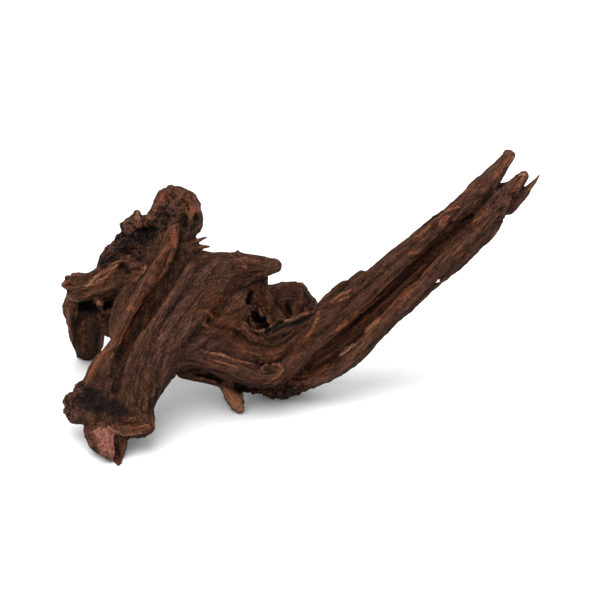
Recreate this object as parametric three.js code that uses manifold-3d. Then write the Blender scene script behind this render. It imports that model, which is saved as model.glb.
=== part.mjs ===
// Driftwood root: one grown piece of wood, lying on its toe, its rear leg and its elbow.
// Its strands are drawn on a sheet that leans back from the ground, melted together into one body,
// and cut off flat where they meet the ground.
import * as THREE from "three";
import { mergeVertices } from "three/addons/utils/BufferGeometryUtils.js";
import Module from "manifold-3d";

// Driving dimensions, in millimetres and degrees
const SHEET_LEAN = 30; // how far the line of sight that the sheet is square to looks down
const SHEET_GROUND = 466; // how far down the sheet the ground meets it
const SHEET_CENTRE = 297.77; // how far along the sheet the middle of the root is
const DEPTH_CENTRE = 116.67; // how far behind the sheet's foot the middle of the root is
const CELL = 3.4; // step of the grid that the surface is found on
const STRAND_STEP = 6; // length of the straight bits that a strand is drawn with
const FACES = 9600; // triangles that the surface is thinned to
const GROUND_BLOCK = 60; // depth of the block that cuts the contact spots flat
const LEAST_MARGIN = 6; // grid kept round a strand, where it melts into its neighbours
const GRID_LOW = [48, 138, -216]; // right, down and forward corner of the grid
const GRID_HIGH = [552, 478, 12];
const FAR = 1000; // field value in empty space
const LEAST_GROOVE = CELL; // half width of the narrowest groove that the grid can hold
const DEEPEST_GROOVE = 1.6; // and its greatest depth for its width
const GROOVE_BLEND = 1.8 * CELL; // how widely its edges are rounded
const IRON_ROUNDS = 3; // times that the grid's steps are ironed out
const IRON_IN = 0.5; // share of the way that a point settles inwards
const IRON_OUT = -0.52; // and back outwards, so that the wood keeps its bulk
const PASS_SHARE = 0.4; // share of the edges that one thinning pass tries
const STAY_WEIGHT = 0.002; // pull of each point to its own place while thinning
const LEAST_TURN = 0.35; // cosine of the most that a face may turn while thinning
const LEAST_FACE = 0.05; // smallest face that thinning may make
const WOOD = { color: 0x4a2c22, roughness: 0.85, metalness: 0 };

// The strands that the root has grown from. Each row is a name, how deep the strand is for its width,
// how widely it melts into the ones before it, and its points on the sheet: right, down, forward and
// half width.
const STRANDS = [
  ["trunk", 0.85, 10, [
    [171, 224, -84, 19], [171, 241, -84, 22], [173, 258, -83, 28], [171, 284, -78, 35],
    [162, 322, -70, 38], [145, 360, -56, 33], [124, 394, -42, 31], [113, 412, -34, 29],
  ]],
  ["knob", 0.9, 6, [
    [168, 212, -82, 17], [175, 206, -80, 20], [182, 210, -76, 18], [184, 222, -74, 18],
  ]],
  ["knob cheek", 0.9, 4, [
    [190, 216, -66, 10], [194, 224, -64, 9], [187, 236, -68, 7],
  ]],
  ["shelf", 0.8, 5, [
    [168, 220, -92, 14], [150, 226, -94, 13], [134, 228, -94, 12], [127, 227, -95, 8],
  ]],
  ["shelf tooth", 0.9, 3, [
    [138, 226, -87, 9], [137.5, 219, -87, 7], [137, 213, -88, 4.2],
  ]],
  ["left shoulder", 0.8, 7, [
    [164, 256, -88, 26], [140, 256, -92, 23], [122, 258, -94, 20], [110, 268, -94, 14],
  ]],
  ["shoulder edge", 0.9, 4, [
    [134, 232, -98, 9], [123, 241, -98, 8], [113.5, 251, -97, 8], [106, 262, -96, 8],
  ]],
  ["left flank", 0.8, 7, [
    [148, 280, -70, 20], [136, 300, -66, 18], [124, 322, -60, 13], [119.5, 336, -54, 9],
  ]],
  ["left bar", 0.85, 4, [
    [138, 274, -66, 13], [114, 281, -74, 12.5], [92, 287, -81, 11.5], [76, 286, -87, 10],
  ]],
  ["left bar rim", 0.9, 3, [
    [130, 263, -74, 9], [106, 272, -80, 7.5], [88, 279, -85, 7], [74, 279, -90, 7.5],
    [67, 284, -92, 6],
  ]],
  ["left bar lip", 0.9, 3, [
    [112, 288, -74, 6], [94, 293, -80, 6], [78, 297, -86, 7], [70, 295, -90, 5],
  ]],
  ["rear leg", 0.5, 6, [
    [114, 288, -98, 19], [97, 302, -114, 21], [85, 320, -138, 18], [83, 337, -161, 15.5],
    [84, 347, -175, 11.5], [83.5, 354.5, -185, 8],
  ]],
  ["rear leg edge", 0.8, 3, [
    [75, 296, -98, 9], [71.5, 310, -114, 8], [72, 328, -140, 7], [74, 344, -166, 5],
    [74.5, 352, -178, 3], [74, 358, -184, 1.4],
  ]],
  ["rear leg web", 0.7, 4, [
    [110, 300, -94, 13], [100, 318, -122, 9], [93, 334, -150, 7], [92, 347, -171, 6.5],
    [94.5, 358, -180, 3],
  ]],
  ["spine", 0.9, 7, [
    [175, 227, -56, 6], [170, 244, -53, 7.5], [161, 267, -48, 9], [149, 288, -43, 10],
    [137, 308, -39, 10], [127, 328, -36, 9.5], [117.5, 349, -34, 9.5], [105, 367, -34, 12],
    [95, 384, -36, 11.5],
  ]],
  ["second strand", 0.9, 3, [
    [195, 265, -60, 5], [189, 274, -50, 7], [178, 291, -42, 8.5], [166, 307, -37, 9],
    [152, 331, -31, 10.5], [142, 354, -26, 11.5], [134, 380, -22, 12.5], [127, 404, -18, 13],
  ]],
  ["swell", 0.9, 6, [
    [218, 276, -60, 18], [198, 298, -54, 23], [178, 324, -46, 22], [161, 348, -36, 20],
    [151, 374, -28, 17], [145, 398, -22, 14], [142, 416, -18, 11],
  ]],
  ["right body", 0.85, 9, [
    [185, 290, -84, 34], [218, 304, -88, 40], [248, 328, -96, 38], [276, 354, -104, 32],
    [298, 364, -108, 26],
  ]],
  ["nose", 0.85, 8, [
    [206, 274, -70, 20], [232, 271, -67, 17], [250, 268, -66, 13], [262, 267.5, -66, 11],
    [273.5, 265.8, -68, 8.3],
  ]],
  ["nose top", 0.9, 8, [
    [198, 259, -72, 9], [216, 262.5, -72, 8.5], [238, 263, -71, 8.5], [256, 264.5, -70, 6.5],
  ]],
  ["rear stub", 0.9, 6, [
    [250, 322, -108, 27], [274, 306, -112, 22], [291, 300, -114, 17], [301, 307, -112, 15],
    [308, 320, -108, 16],
  ]],
  ["rear stub lip", 0.9, 3, [
    [272, 297, -112, 9], [286, 291, -113, 8], [299, 289, -114, 7],
  ]],
  ["belly", 0.9, 5, [
    [236, 306, -70, 18], [214, 330, -60, 20], [192, 344, -52, 18],
  ]],
  ["wave", 0.9, 6, [
    [172, 362, -46, 9], [190, 356, -50, 11], [214, 362, -54, 12], [238, 371, -60, 11],
    [258, 376, -66, 11], [276, 375, -70, 10], [296, 358, -72, 10], [312, 336, -75, 9],
  ]],
  ["under shelf", 0.8, 4, [
    [182, 373, -86, 5], [204, 377, -90, 6], [232, 382, -98, 9], [262, 385, -104, 11],
    [288, 385, -108, 13], [314, 377, -104, 11], [334, 369, -96, 9],
  ]],
  ["elbow", 1.0, 7, [
    [256, 370, -110, 19], [285, 375, -119, 20.5], [310, 365, -108, 17],
  ]],
  ["middle foot", 1.0, 3, [
    [226, 378, -100, 9], [232, 393, -95, 9], [238, 404, -90, 7.5], [239, 409, -88, 5],
  ]],
  ["arm upper bar", 1.0, 4, [
    [284, 366, -90, 15], [300, 350, -84, 17], [322, 330, -78, 18], [350, 305, -72, 18],
    [378, 281, -66, 16], [410, 252, -58, 14], [430, 234, -54, 12.5], [450, 218, -48, 12],
    [474, 196, -40, 11], [492, 176, -34, 9], [508, 156, -28, 6.5],
  ]],
  ["arm shoulder", 0.9, 4, [
    [316, 332, -92, 14], [326, 312, -88, 12], [338, 298, -82, 10], [362, 278, -74, 8],
  ]],
  ["arm lower bar", 1.1, 4, [
    [284, 387, -100, 10], [316, 379, -92, 8], [349.5, 358.5, -84, 9], [377, 331, -74, 9.5],
    [410, 299, -66, 9.5], [430, 279, -60, 10], [450, 259, -54, 13], [480, 228, -45, 15],
    [498, 206, -38, 13], [510.5, 190, -34, 8.5], [522.5, 177, -30, 5.5],
  ]],
  ["arm web", 0.6, 4, [
    [300, 368, -98, 14], [340, 342, -87, 14], [378, 308, -78, 14], [410, 278, -69, 13],
    [450, 240, -57, 13], [480, 208, -45, 12], [494, 196, -40, 10], [502, 188, -37, 5],
  ]],
  ["arm back", 0.9, 8, [
    [290, 364, -114, 20], [350, 330, -98, 22], [400, 286, -84, 19], [450, 240, -70, 15],
    [480, 210, -58, 10],
  ]],
  ["third tip", 1.0, 3, [
    [508, 208, -38, 8], [521.5, 195.5, -36, 5.2], [530, 186.5, -35, 3.2], [538, 176, -34, 1.2],
  ]],
  ["toe", 0.8, 4, [
    [113, 420, -22, 21], [113, 432, -18, 17.5], [116, 444, -16, 12.5], [118, 453, -14, 8],
    [120, 461, -8, 4.2], [120.3, 466, -4, 1.3],
  ]],
  ["left spur", 0.8, 4, [
    [104, 396, -34, 20], [86, 400, -36, 17], [78, 407, -36, 13], [78, 414, -34, 9],
  ]],
  ["right spur", 0.8, 4, [
    [128, 412, -24, 22], [140, 419, -20, 17], [147, 427, -18, 8.5],
  ]],
  ["splinter a", 1.0, 2, [
    [184, 247, -66, 5], [195, 242, -66, 3], [206, 237.5, -66, 1.6],
  ]],
  ["splinter b", 1.0, 2, [
    [188, 250, -66, 5], [200, 247, -66, 3], [209.5, 246.5, -66, 1.5],
  ]],
  ["under body", 0.8, 7, [
    [178, 360, -80, 12], [204, 366, -92, 14], [236, 372, -100, 15],
  ]],
  ["crotch", 0.9, 7, [
    [288, 334, -112, 18], [304, 333, -106, 15], [320, 328, -98, 13],
  ]],
  ["back ridge left", 0.9, 8, [
    [160, 234, -104, 10], [148, 266, -108, 13], [138, 304, -96, 14], [127, 346, -80, 13],
    [112, 384, -62, 11],
  ]],
  ["back ridge middle", 0.9, 8, [
    [182, 230, -100, 9], [190, 262, -108, 12], [182, 304, -108, 14], [166, 344, -92, 14],
    [148, 378, -70, 13], [136, 404, -50, 10],
  ]],
  ["back ridge right", 0.9, 8, [
    [200, 268, -100, 10], [222, 298, -118, 14], [250, 328, -128, 15], [282, 352, -130, 14],
    [316, 356, -120, 11],
  ]],
  ["arm back ridge", 0.9, 6, [
    [306, 344, -118, 10], [350, 312, -111, 10], [400, 274, -96, 9], [446, 234, -81, 8],
    [484, 202, -64, 5],
  ]],
  ["arm back keel", 0.9, 6, [
    [300, 376, -120, 11], [338, 352, -108, 10], [388, 308, -91, 9], [440, 262, -77, 9],
    [482, 224, -60, 7],
  ]],
  ["wave back", 0.9, 6, [
    [196, 348, -66, 13], [222, 350, -74, 15], [252, 356, -82, 15], [282, 352, -86, 13],
  ]],
  ["nose plate", 0.9, 6, [
    [204, 270, -88, 15], [230, 272, -86, 12], [252, 270, -80, 9],
  ]],
  ["knob crown", 0.9, 3, [
    [166, 197, -80, 8.5], [173, 193.5, -76, 8], [182, 197, -72, 7], [190, 207, -68, 7.5],
  ]],
  ["knob left cheek", 0.9, 4, [
    [163, 205, -92, 9], [156, 212, -90, 8.5], [152, 220, -86, 8],
  ]],
  ["knob back", 0.9, 4, [
    [180, 200, -94, 9], [184, 214, -98, 9], [180, 230, -102, 8],
  ]],
  ["rear leg rib", 0.9, 4, [
    [78, 292, -118, 9], [70, 306, -138, 9], [72, 318, -160, 8], [76, 332, -180, 6],
  ]],
  ["rear leg heel", 0.9, 4, [
    [102, 292, -118, 10], [98.5, 306, -144, 9], [96, 320, -162, 8], [95, 335, -176, 7.5],
    [94.5, 346, -181, 6.5],
  ]],
  ["under ridge", 0.9, 6, [
    [188, 318, -112, 13], [172, 346, -102, 13], [152, 376, -84, 12], [134, 402, -62, 11],
    [122, 422, -44, 9],
  ]],
  ["nose root", 0.9, 5, [
    [236, 280, -78, 14], [252, 281, -80, 11], [257, 283, -82, 9],
  ]],
  ["rear leg flute", 0.8, 3, [
    [90, 312, -118, 8], [86, 329, -144, 8], [84, 345, -168, 7], [83, 355, -182, 5],
  ]],
  ["rear leg splinter", 1.0, 2, [
    [92, 344, -172, 5], [90, 353, -182, 3.5], [91, 359, -184, 1.2],
  ]],
  ["toe left", 0.8, 3, [
    [98, 418, -20, 13], [98, 432, -17, 10.5], [100, 443, -14, 8.5], [101, 448, -12, 5],
  ]],
  ["toe face", 0.7, 2, [
    [103, 428, -8, 8.5], [106, 440, -5, 9.5], [109, 450, -4, 8], [113, 457, -5, 3],
  ]],
  ["toe ledge", 0.8, 2.5, [
    [116, 429, -9, 6], [132, 429, -8, 7], [146, 426, -12, 6.5],
  ]],
  ["spur bridge", 0.8, 5, [
    [82, 411, -30, 11], [98, 412, -24, 14],
  ]],
  ["bar crest", 0.9, 2.5, [
    [82, 287, -79, 3], [98, 277, -72, 3], [114, 267, -66, 3], [122, 262, -63, 3],
  ]],
  ["rear leg corner", 0.8, 4, [
    [112, 297, -98, 13], [110, 313, -112, 11], [107, 329, -126, 8.5],
  ]],
  ["belly fold high", 0.9, 3, [
    [212, 322, -54, 9], [228, 323, -57, 9], [244, 329, -62, 8], [254, 338, -67, 7],
    [264, 342, -70, 5],
  ]],
  ["belly fold low", 0.9, 7, [
    [204, 340, -52, 10], [222, 343, -57, 11], [242, 350, -64, 11], [264, 354, -70, 9],
    [284, 346, -73, 8], [302, 331, -75, 7], [316, 317, -78, 5],
  ]],
  ["cavity rim", 0.9, 3, [
    [262, 340, -72, 5], [276, 334, -74, 6], [292, 324, -76, 6], [308, 316, -80, 5],
  ]],
  ["nose bump left", 0.9, 2, [
    [230, 259, -72, 5], [237, 254.5, -72, 3],
  ]],
  ["nose bump right", 0.9, 2, [
    [249, 261, -71, 5], [255.5, 257.5, -71, 2.6],
  ]],
  ["rear stub rib", 0.9, 3, [
    [276, 318, -100, 7], [279, 304, -103, 7], [281, 293, -106, 6],
  ]],
  ["rear stub rib right", 0.9, 3, [
    [294, 316, -98, 6], [298, 304, -102, 6], [299, 293, -106, 5],
  ]],
  ["toe heel", 0.8, 4, [
    [116, 424, -40, 14], [112, 438, -34, 10], [110, 447, -27, 8],
  ]],
  ["shelf lobe left", 0.9, 3, [
    [130, 228, -88, 8], [124, 224, -90, 5.5],
  ]],
  ["shelf lobe right", 0.9, 3, [
    [150, 222, -84, 8], [158, 216, -82, 7],
  ]],
  ["knob right lobe", 0.9, 2.5, [
    [190, 206, -66, 9], [194, 216, -62, 9], [192, 226, -63, 7],
  ]],
  ["shelf lobe low", 0.9, 3, [
    [134, 238, -92, 8], [124, 238, -93, 6.5], [118, 237.5, -94, 4],
  ]],
  ["hanging lump", 0.9, 2, [
    [97, 295, -78, 5], [99.5, 302, -80, 4.6], [100.5, 307.5, -82, 2.6],
  ]],
  ["neck", 0.9, 5, [
    [257, 278, -76, 11], [257, 292, -80, 11], [261, 305, -82, 12], [270, 318, -88, 11],
  ]],
  ["rear stub corner", 0.9, 3, [
    [300, 291, -113, 7], [309, 301, -111, 7], [316, 311, -108, 6],
  ]],
  ["stub face", 0.9, 5, [
    [278, 304, -108, 12], [290, 302, -108, 12], [300, 308, -108, 10],
  ]],
];

// Grooves, slits and holes, taken out of the strands, as rows of the same form.
const CUTS = [
  ["slit under the wave", 6, 2, [
    [184, 374, -66, 1.2], [200, 375, -72, 2.5], [216, 379, -76, 3], [236, 388, -80, 3.2],
    [256, 391, -84, 2.5],
  ]],
  ["arm groove", 1.6, 4, [
    [296, 373, -76, 1.5], [316, 356, -77, 2.6], [342, 334, -73, 3.2], [378, 301, -64, 3.8],
    [408, 273, -55, 4.2], [444, 242, -44, 4.6], [468, 218, -37, 4],
  ]],
  ["spine groove", 1.0, 4, [
    [184, 257, -50, 4], [173, 276, -42, 6.5], [158, 297, -37, 8], [144, 319, -33.5, 8],
    [129, 345, -28, 8], [120, 367, -23.5, 7.5], [117, 386, -18, 6],
  ]],
  ["hole behind the nose", 4, 2, [
    [252, 292, -66, 2.2], [249, 298, -64, 3], [247, 303, -66, 2.4],
  ]],
  ["right cavity", 1.8, 2.5, [
    [254, 315, -66, 3.6], [260, 321, -68, 6], [266, 328, -70, 4.5],
  ]],
  ["left cavity", 2.0, 3, [
    [83, 306, -98, 6.5], [91, 306, -98, 6.5],
  ]],
  ["pinhole", 10, 1, [
    [439, 280, -62, 2.2], [436, 283, -62, 1.6],
  ]],
  ["rear leg back groove", 1.0, 4, [
    [92, 290, -126, 3], [86, 304, -152, 5], [87, 318, -178, 5], [87, 332, -196, 3],
  ]],
  ["arm under groove", 1.0, 4, [
    [330, 376, -112, 2], [366, 344, -98, 3.5], [410, 300, -84, 3.5], [452, 262, -72, 3],
    [484, 234, -62, 2],
  ]],
  ["left cavity right", 2.0, 3, [
    [106, 306, -92, 4.5], [113, 303, -86, 3.6],
  ]],
];

const counts = GRID_LOW.map((low, i) => Math.ceil((GRID_HIGH[i] - low) / CELL) + 1);
const STRIDE = [1, counts[0], counts[0] * counts[1]];

// A smooth line through the points, cut into short straight bits.
function smoothLine(points) {
  const mirrored = (a, b) => a.map((x, i) => 2 * x - b[i]);
  const last = points.length - 1;
  const all = [
    mirrored(points[0], points[1]),
    ...points,
    mirrored(points[last], points[last - 1]),
  ];
  const line = [];
  for (let i = 1; i <= last; i++) {
    const [a, b, c, d] = all.slice(i - 1, i + 3);
    const length = Math.hypot(c[0] - b[0], c[1] - b[1], c[2] - b[2]);
    const bits = Math.max(1, Math.round(length / STRAND_STEP));
    for (let bit = 0; bit < bits; bit++) line.push(between(a, b, c, d, bit / bits));
  }
  line.push(points[last]);
  return line;
}

// The Catmull-Rom point a share t of the way from b to c.
function between(a, b, c, d, t) {
  return b.map((_, i) => {
    const slope = c[i] - a[i];
    const bend = 2 * a[i] - 5 * b[i] + 4 * c[i] - d[i];
    const twist = 3 * b[i] - a[i] - 3 * c[i] + d[i];
    return b[i] + 0.5 * t * (slope + t * (bend + t * twist));
  });
}

// The grid cells that hold a straight bit with the given margin, as [low, high) for each axis.
function cellsAround(from, to, share, margin) {
  const radius = Math.max(from[3], to[3]);
  return [0, 1, 2].map((axis) => {
    const reach = (radius + margin) * (axis === 2 ? share : 1);
    const low = Math.min(from[axis], to[axis]) - reach - GRID_LOW[axis];
    const high = Math.max(from[axis], to[axis]) + reach - GRID_LOW[axis];
    return [Math.max(0, Math.ceil(low / CELL)), Math.min(counts[axis], Math.floor(high / CELL) + 1)];
  });
}

// Calls visit with the index and place of every grid point in the cells.
function eachPoint(cells, visit) {
  const [[u0, u1], [v0, v1], [w0, w1]] = cells;
  for (let k = w0; k < w1; k++) {
    for (let j = v0; j < v1; j++) {
      for (let i = u0; i < u1; i++) {
        const place = [GRID_LOW[0] + i * CELL, GRID_LOW[1] + j * CELL, GRID_LOW[2] + k * CELL];
        visit(i + j * STRIDE[1] + k * STRIDE[2], place);
      }
    }
  }
}

// Distance from a place to a straight bit whose half width runs evenly from end to end.
function distanceToBit(place, from, to, share) {
  const along = [to[0] - from[0], to[1] - from[1], (to[2] - from[2]) / share];
  const away = [place[0] - from[0], place[1] - from[1], (place[2] - from[2]) / share];
  const length2 = along[0] ** 2 + along[1] ** 2 + along[2] ** 2;
  const dot = along[0] * away[0] + along[1] * away[1] + along[2] * away[2];
  const t = Math.min(1, Math.max(0, dot / length2));
  const gap = Math.hypot(away[0] - t * along[0], away[1] - t * along[1], away[2] - t * along[2]);
  return gap - (from[3] + t * (to[3] - from[3]));
}

// The smaller of two distances, rounded off over the blend where they are alike.
function smoothMin(a, b, blend) {
  const near = Math.max(blend - Math.abs(a - b), 0) / blend;
  return Math.min(a, b) - near * near * blend * 0.25;
}

// Adds one strand to the field (sign 1), or takes it out as a groove (sign -1).
function meltStrand(field, [, drawnShare, drawnBlend, points], sign) {
  const isGroove = sign < 0;
  const share = isGroove ? Math.min(drawnShare, DEEPEST_GROOVE) : drawnShare;
  const blend = Math.max(drawnBlend, isGroove ? GROOVE_BLEND : CELL);
  const margin = Math.max(blend, LEAST_MARGIN);
  const least = isGroove ? LEAST_GROOVE : 0;
  const line = smoothLine(points.map(([u, v, w, half]) => [u, v, w, Math.max(half, least)]));
  const distance = new Float32Array(field.length).fill(FAR);
  for (let bit = 1; bit < line.length; bit++) {
    const [from, to] = [line[bit - 1], line[bit]];
    eachPoint(cellsAround(from, to, share, margin), (index, place) => {
      distance[index] = Math.min(distance[index], distanceToBit(place, from, to, share));
    });
  }
  distance.forEach((found, index) => {
    if (found < FAR) field[index] = sign * smoothMin(sign * field[index], found, blend);
  });
}

// The field: below zero inside the wood.
function makeField() {
  const field = new Float32Array(counts[0] * counts[1] * counts[2]).fill(FAR);
  for (const strand of STRANDS) meltStrand(field, strand, 1);
  for (const cut of CUTS) meltStrand(field, cut, -1);
  return field;
}

// The corners of the six tetrahedra that a grid cube splits into, each a walk along the three axes.
const WALKS = [[0, 1, 2], [1, 2, 0], [2, 0, 1], [0, 2, 1], [2, 1, 0], [1, 0, 2]];
const TETRAHEDRA = WALKS.map(([a, b]) => [0, 1 << a, (1 << a) | (1 << b), 7]);
const RIGHT_HANDED = 3; // the first three walks are right-handed, the rest left-handed

// The surface where the field is zero, as points on the sheet and faces. The sheet's own axes are
// left-handed, so the faces are wound to look outwards once the root stands in the ground frame.
function findSurface(field) {
  const points = [];
  const faces = [];
  const known = new Map();
  const offset = (corner) => [0, 1, 2].reduce((sum, axis) => sum + ((corner >> axis) & 1) * STRIDE[axis], 0);
  const placeOf = (index) => [
    GRID_LOW[0] + (index % counts[0]) * CELL,
    GRID_LOW[1] + (Math.floor(index / STRIDE[1]) % counts[1]) * CELL,
    GRID_LOW[2] + Math.floor(index / STRIDE[2]) * CELL,
  ];
  const crossing = (p, q) => {
    const [a, b] = p < q ? [p, q] : [q, p];
    const key = a * field.length + b;
    if (!known.has(key)) {
      const t = field[a] / (field[a] - field[b]);
      const [from, to] = [placeOf(a), placeOf(b)];
      known.set(key, points.push(from.map((x, i) => x + t * (to[i] - x))) - 1);
    }
    return known.get(key);
  };
  const addFace = (a, b, c, turned) => faces.push(turned ? [a, c, b] : [a, b, c]);
  const cells = counts.map((count) => [0, count - 1]);
  const cube = [0, 1, 2, 3, 4, 5, 6, 7].map(offset);
  eachPoint(cells, (index) => {
    if (cube.every((step) => field[index + step] >= 0)) return;
    if (cube.every((step) => field[index + step] < 0)) return;
    TETRAHEDRA.forEach((corners, which) => {
      const at = corners.map((corner) => index + offset(corner));
      const inside = [0, 1, 2, 3].filter((n) => field[at[n]] < 0);
      const outside = [0, 1, 2, 3].filter((n) => field[at[n]] >= 0);
      if (inside.length === 0 || outside.length === 0) return;
      const order = [...inside, ...outside];
      const turned = isOdd(order) === (which >= RIGHT_HANDED);
      const [a, b, c, d] = order.map((n) => at[n]);
      if (inside.length === 1) {
        addFace(crossing(a, b), crossing(a, c), crossing(a, d), turned);
      } else if (inside.length === 3) {
        addFace(crossing(a, d), crossing(b, d), crossing(c, d), turned);
      } else {
        addFace(crossing(a, c), crossing(a, d), crossing(b, d), turned);
        addFace(crossing(a, c), crossing(b, d), crossing(b, c), turned);
      }
    });
  });
  return { points, faces };
}

// Whether an order of 0 to 3 takes an odd number of swaps to sort.
function isOdd(order) {
  let swaps = 0;
  for (let i = 0; i < 3; i++) {
    for (let j = i + 1; j < 4; j++) if (order[i] > order[j]) swaps++;
  }
  return swaps % 2 === 1;
}

// Moves each point a share of the way to the middle of its neighbours.
function settle(points, faces, share) {
  const sums = points.map(() => [0, 0, 0, 0]);
  for (const face of faces) {
    face.forEach((p, n) => {
      const next = points[face[(n + 1) % 3]];
      sums[p][3]++;
      for (let axis = 0; axis < 3; axis++) sums[p][axis] += next[axis];
    });
  }
  return points.map((point, p) => point.map((x, axis) => x + share * (sums[p][axis] / sums[p][3] - x)));
}

// Irons out the steps that the grid leaves, without shrinking the wood.
function ironOut({ points, faces }) {
  let settled = points;
  for (let round = 0; round < IRON_ROUNDS; round++) {
    settled = settle(settle(settled, faces, IRON_IN), faces, IRON_OUT);
  }
  return { points: settled, faces };
}

// From the sheet to the ground frame: X to the right, Y away from the viewer, Z up.
function standUp([u, v, w]) {
  const lean = THREE.MathUtils.degToRad(SHEET_LEAN);
  const up = SHEET_GROUND - v;
  const y = up * Math.sin(lean) - w * Math.cos(lean) - DEPTH_CENTRE;
  const z = up * Math.cos(lean) + w * Math.sin(lean);
  return new THREE.Vector3(u - SHEET_CENTRE, y, z);
}

// The squared distance from a face's plane, weighted by its area, as ten sums.
function planeCost(a, b, c) {
  const normal = b.clone().sub(a).cross(c.clone().sub(a));
  const area = normal.length() / 2;
  normal.normalize();
  const n = [normal.x, normal.y, normal.z, -normal.dot(a)];
  return squareSums(n).map((x) => x * area);
}

// The products of four numbers with each other, each pair once.
function squareSums(n) {
  return n.flatMap((x, i) => n.slice(i).map((y) => x * y));
}

// Keeps a point near where it is, a little, so that flat stretches keep an even mesh.
function placeCost(p, weight) {
  const axes = [[1, 0, 0, -p.x], [0, 1, 0, -p.y], [0, 0, 1, -p.z]];
  return axes.map(squareSums).reduce((sum, q) => sum.map((x, i) => x + q[i])).map((x) => x * weight);
}

// The place where a cost is least, with that least cost.
function cheapestPlace(q) {
  const inverse = new THREE.Matrix3().set(q[0], q[1], q[2], q[1], q[4], q[5], q[2], q[5], q[7]).invert();
  const place = new THREE.Vector3(-q[3], -q[6], -q[8]).applyMatrix3(inverse);
  return [place, q[9] + q[3] * place.x + q[6] * place.y + q[8] * place.z];
}

// A closed surface that loses its cheapest edges, pass by pass, until few enough faces are left.
class ThinnedSurface {
  constructor(points, faces) {
    this.points = points;
    this.faces = faces;
    this.left = faces.length;
    this.facesAt = points.map(() => new Set());
    this.costs = points.map(() => new Array(10).fill(0));
    faces.forEach((face, f) => {
      const cost = planeCost(...face.map((p) => points[p]));
      for (const p of face) {
        this.facesAt[p].add(f);
        this.costs[p] = this.costs[p].map((x, i) => x + cost[i]);
      }
    });
    points.forEach((point, p) => {
      const stay = placeCost(point, STAY_WEIGHT * CELL * CELL);
      this.costs[p] = this.costs[p].map((x, i) => x + stay[i]);
    });
  }

  neighbours(p) {
    const found = new Set([...this.facesAt[p]].flatMap((f) => this.faces[f]));
    found.delete(p);
    return found;
  }

  // Every edge, cheapest first, as its two ends, the place that they would share, and the cost.
  edges() {
    const found = [];
    this.points.forEach((_, p) => {
      for (const q of this.neighbours(p)) {
        if (q < p) continue;
        const [place, cost] = cheapestPlace(this.costs[p].map((x, i) => x + this.costs[q][i]));
        found.push({ p, q, place, cost });
      }
    });
    return found.sort((a, b) => a.cost - b.cost);
  }

  // Whether a point can move without turning one of its faces over.
  canMove(p, other, place) {
    return [...this.facesAt[p]].every((f) => {
      const face = this.faces[f];
      if (face.includes(other)) return true;
      const before = new THREE.Triangle(...face.map((n) => this.points[n]));
      const after = new THREE.Triangle(...face.map((n) => (n === p ? place : this.points[n])));
      const [from, to] = [before.getNormal(new THREE.Vector3()), after.getNormal(new THREE.Vector3())];
      return from.dot(to) > LEAST_TURN && after.getArea() > LEAST_FACE;
    });
  }

  canJoin({ p, q, place }) {
    const mine = this.neighbours(p);
    const shared = [...this.neighbours(q)].filter((n) => mine.has(n));
    return shared.length === 2 && this.canMove(p, q, place) && this.canMove(q, p, place);
  }

  join({ p, q, place }) {
    for (const f of [...this.facesAt[q]]) {
      const face = this.faces[f];
      if (face.includes(p)) {
        for (const n of face) this.facesAt[n].delete(f);
        this.faces[f] = null;
        this.left--;
      } else {
        this.faces[f] = face.map((n) => (n === q ? p : n));
        this.facesAt[p].add(f);
      }
    }
    this.facesAt[q].clear();
    this.points[p] = place;
    this.costs[p] = this.costs[p].map((x, i) => x + this.costs[q][i]);
  }

  thinTo(wanted) {
    while (this.left > wanted) {
      const edges = this.edges();
      const touched = new Set();
      for (const edge of edges.slice(0, Math.ceil(edges.length * PASS_SHARE))) {
        if (touched.has(edge.p) || touched.has(edge.q) || !this.canJoin(edge)) continue;
        this.join(edge);
        for (const n of this.neighbours(edge.p)) touched.add(n);
        touched.add(edge.p);
        if (this.left <= wanted) break;
      }
      if (touched.size === 0) break;
    }
    return this;
  }
}

// A solid from points and faces, leaving out the points that no face uses.
function solidFrom(wasm, points, faces) {
  const used = [...new Set(faces.flat())];
  const place = new Map(used.map((p, i) => [p, i]));
  const vertProperties = new Float32Array(used.flatMap((p) => points[p].toArray()));
  const triVerts = new Uint32Array(faces.flat().map((p) => place.get(p)));
  return new wasm.Manifold(new wasm.Mesh({ numProp: 3, vertProperties, triVerts }));
}

// The block of ground under the root, with its top at Z = 0.
function groundBlock(wasm) {
  const wide = GRID_HIGH[0] - GRID_LOW[0];
  const box = new THREE.BoxGeometry(wide, wide, GROUND_BLOCK).translate(0, 0, -GROUND_BLOCK / 2);
  box.deleteAttribute("normal");
  box.deleteAttribute("uv");
  const merged = mergeVertices(box);
  const vertProperties = merged.getAttribute("position").array;
  const triVerts = new Uint32Array(merged.getIndex().array);
  return new wasm.Manifold(new wasm.Mesh({ numProp: 3, vertProperties, triVerts }));
}

function geometryOf(solid) {
  const { vertProperties, triVerts } = solid.getMesh();
  const geometry = new THREE.BufferGeometry();
  geometry.setAttribute("position", new THREE.BufferAttribute(vertProperties, 3));
  geometry.setIndex(new THREE.BufferAttribute(triVerts, 1));
  geometry.computeVertexNormals();
  return geometry;
}

// The root as one mesh.
async function makeRoot() {
  const wasm = await Module();
  wasm.setup();
  const surface = ironOut(findSurface(makeField()));
  const thinned = new ThinnedSurface(surface.points.map(standUp), surface.faces).thinTo(FACES);
  const grown = solidFrom(wasm, thinned.points, thinned.faces.filter(Boolean));
  const root = grown.subtract(groundBlock(wasm));
  const mesh = new THREE.Mesh(geometryOf(root), new THREE.MeshStandardMaterial(WOOD));
  mesh.name = "driftwood_root";
  return mesh;
}

const group = new THREE.Group();
group.add(await makeRoot());

export default group;
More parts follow.
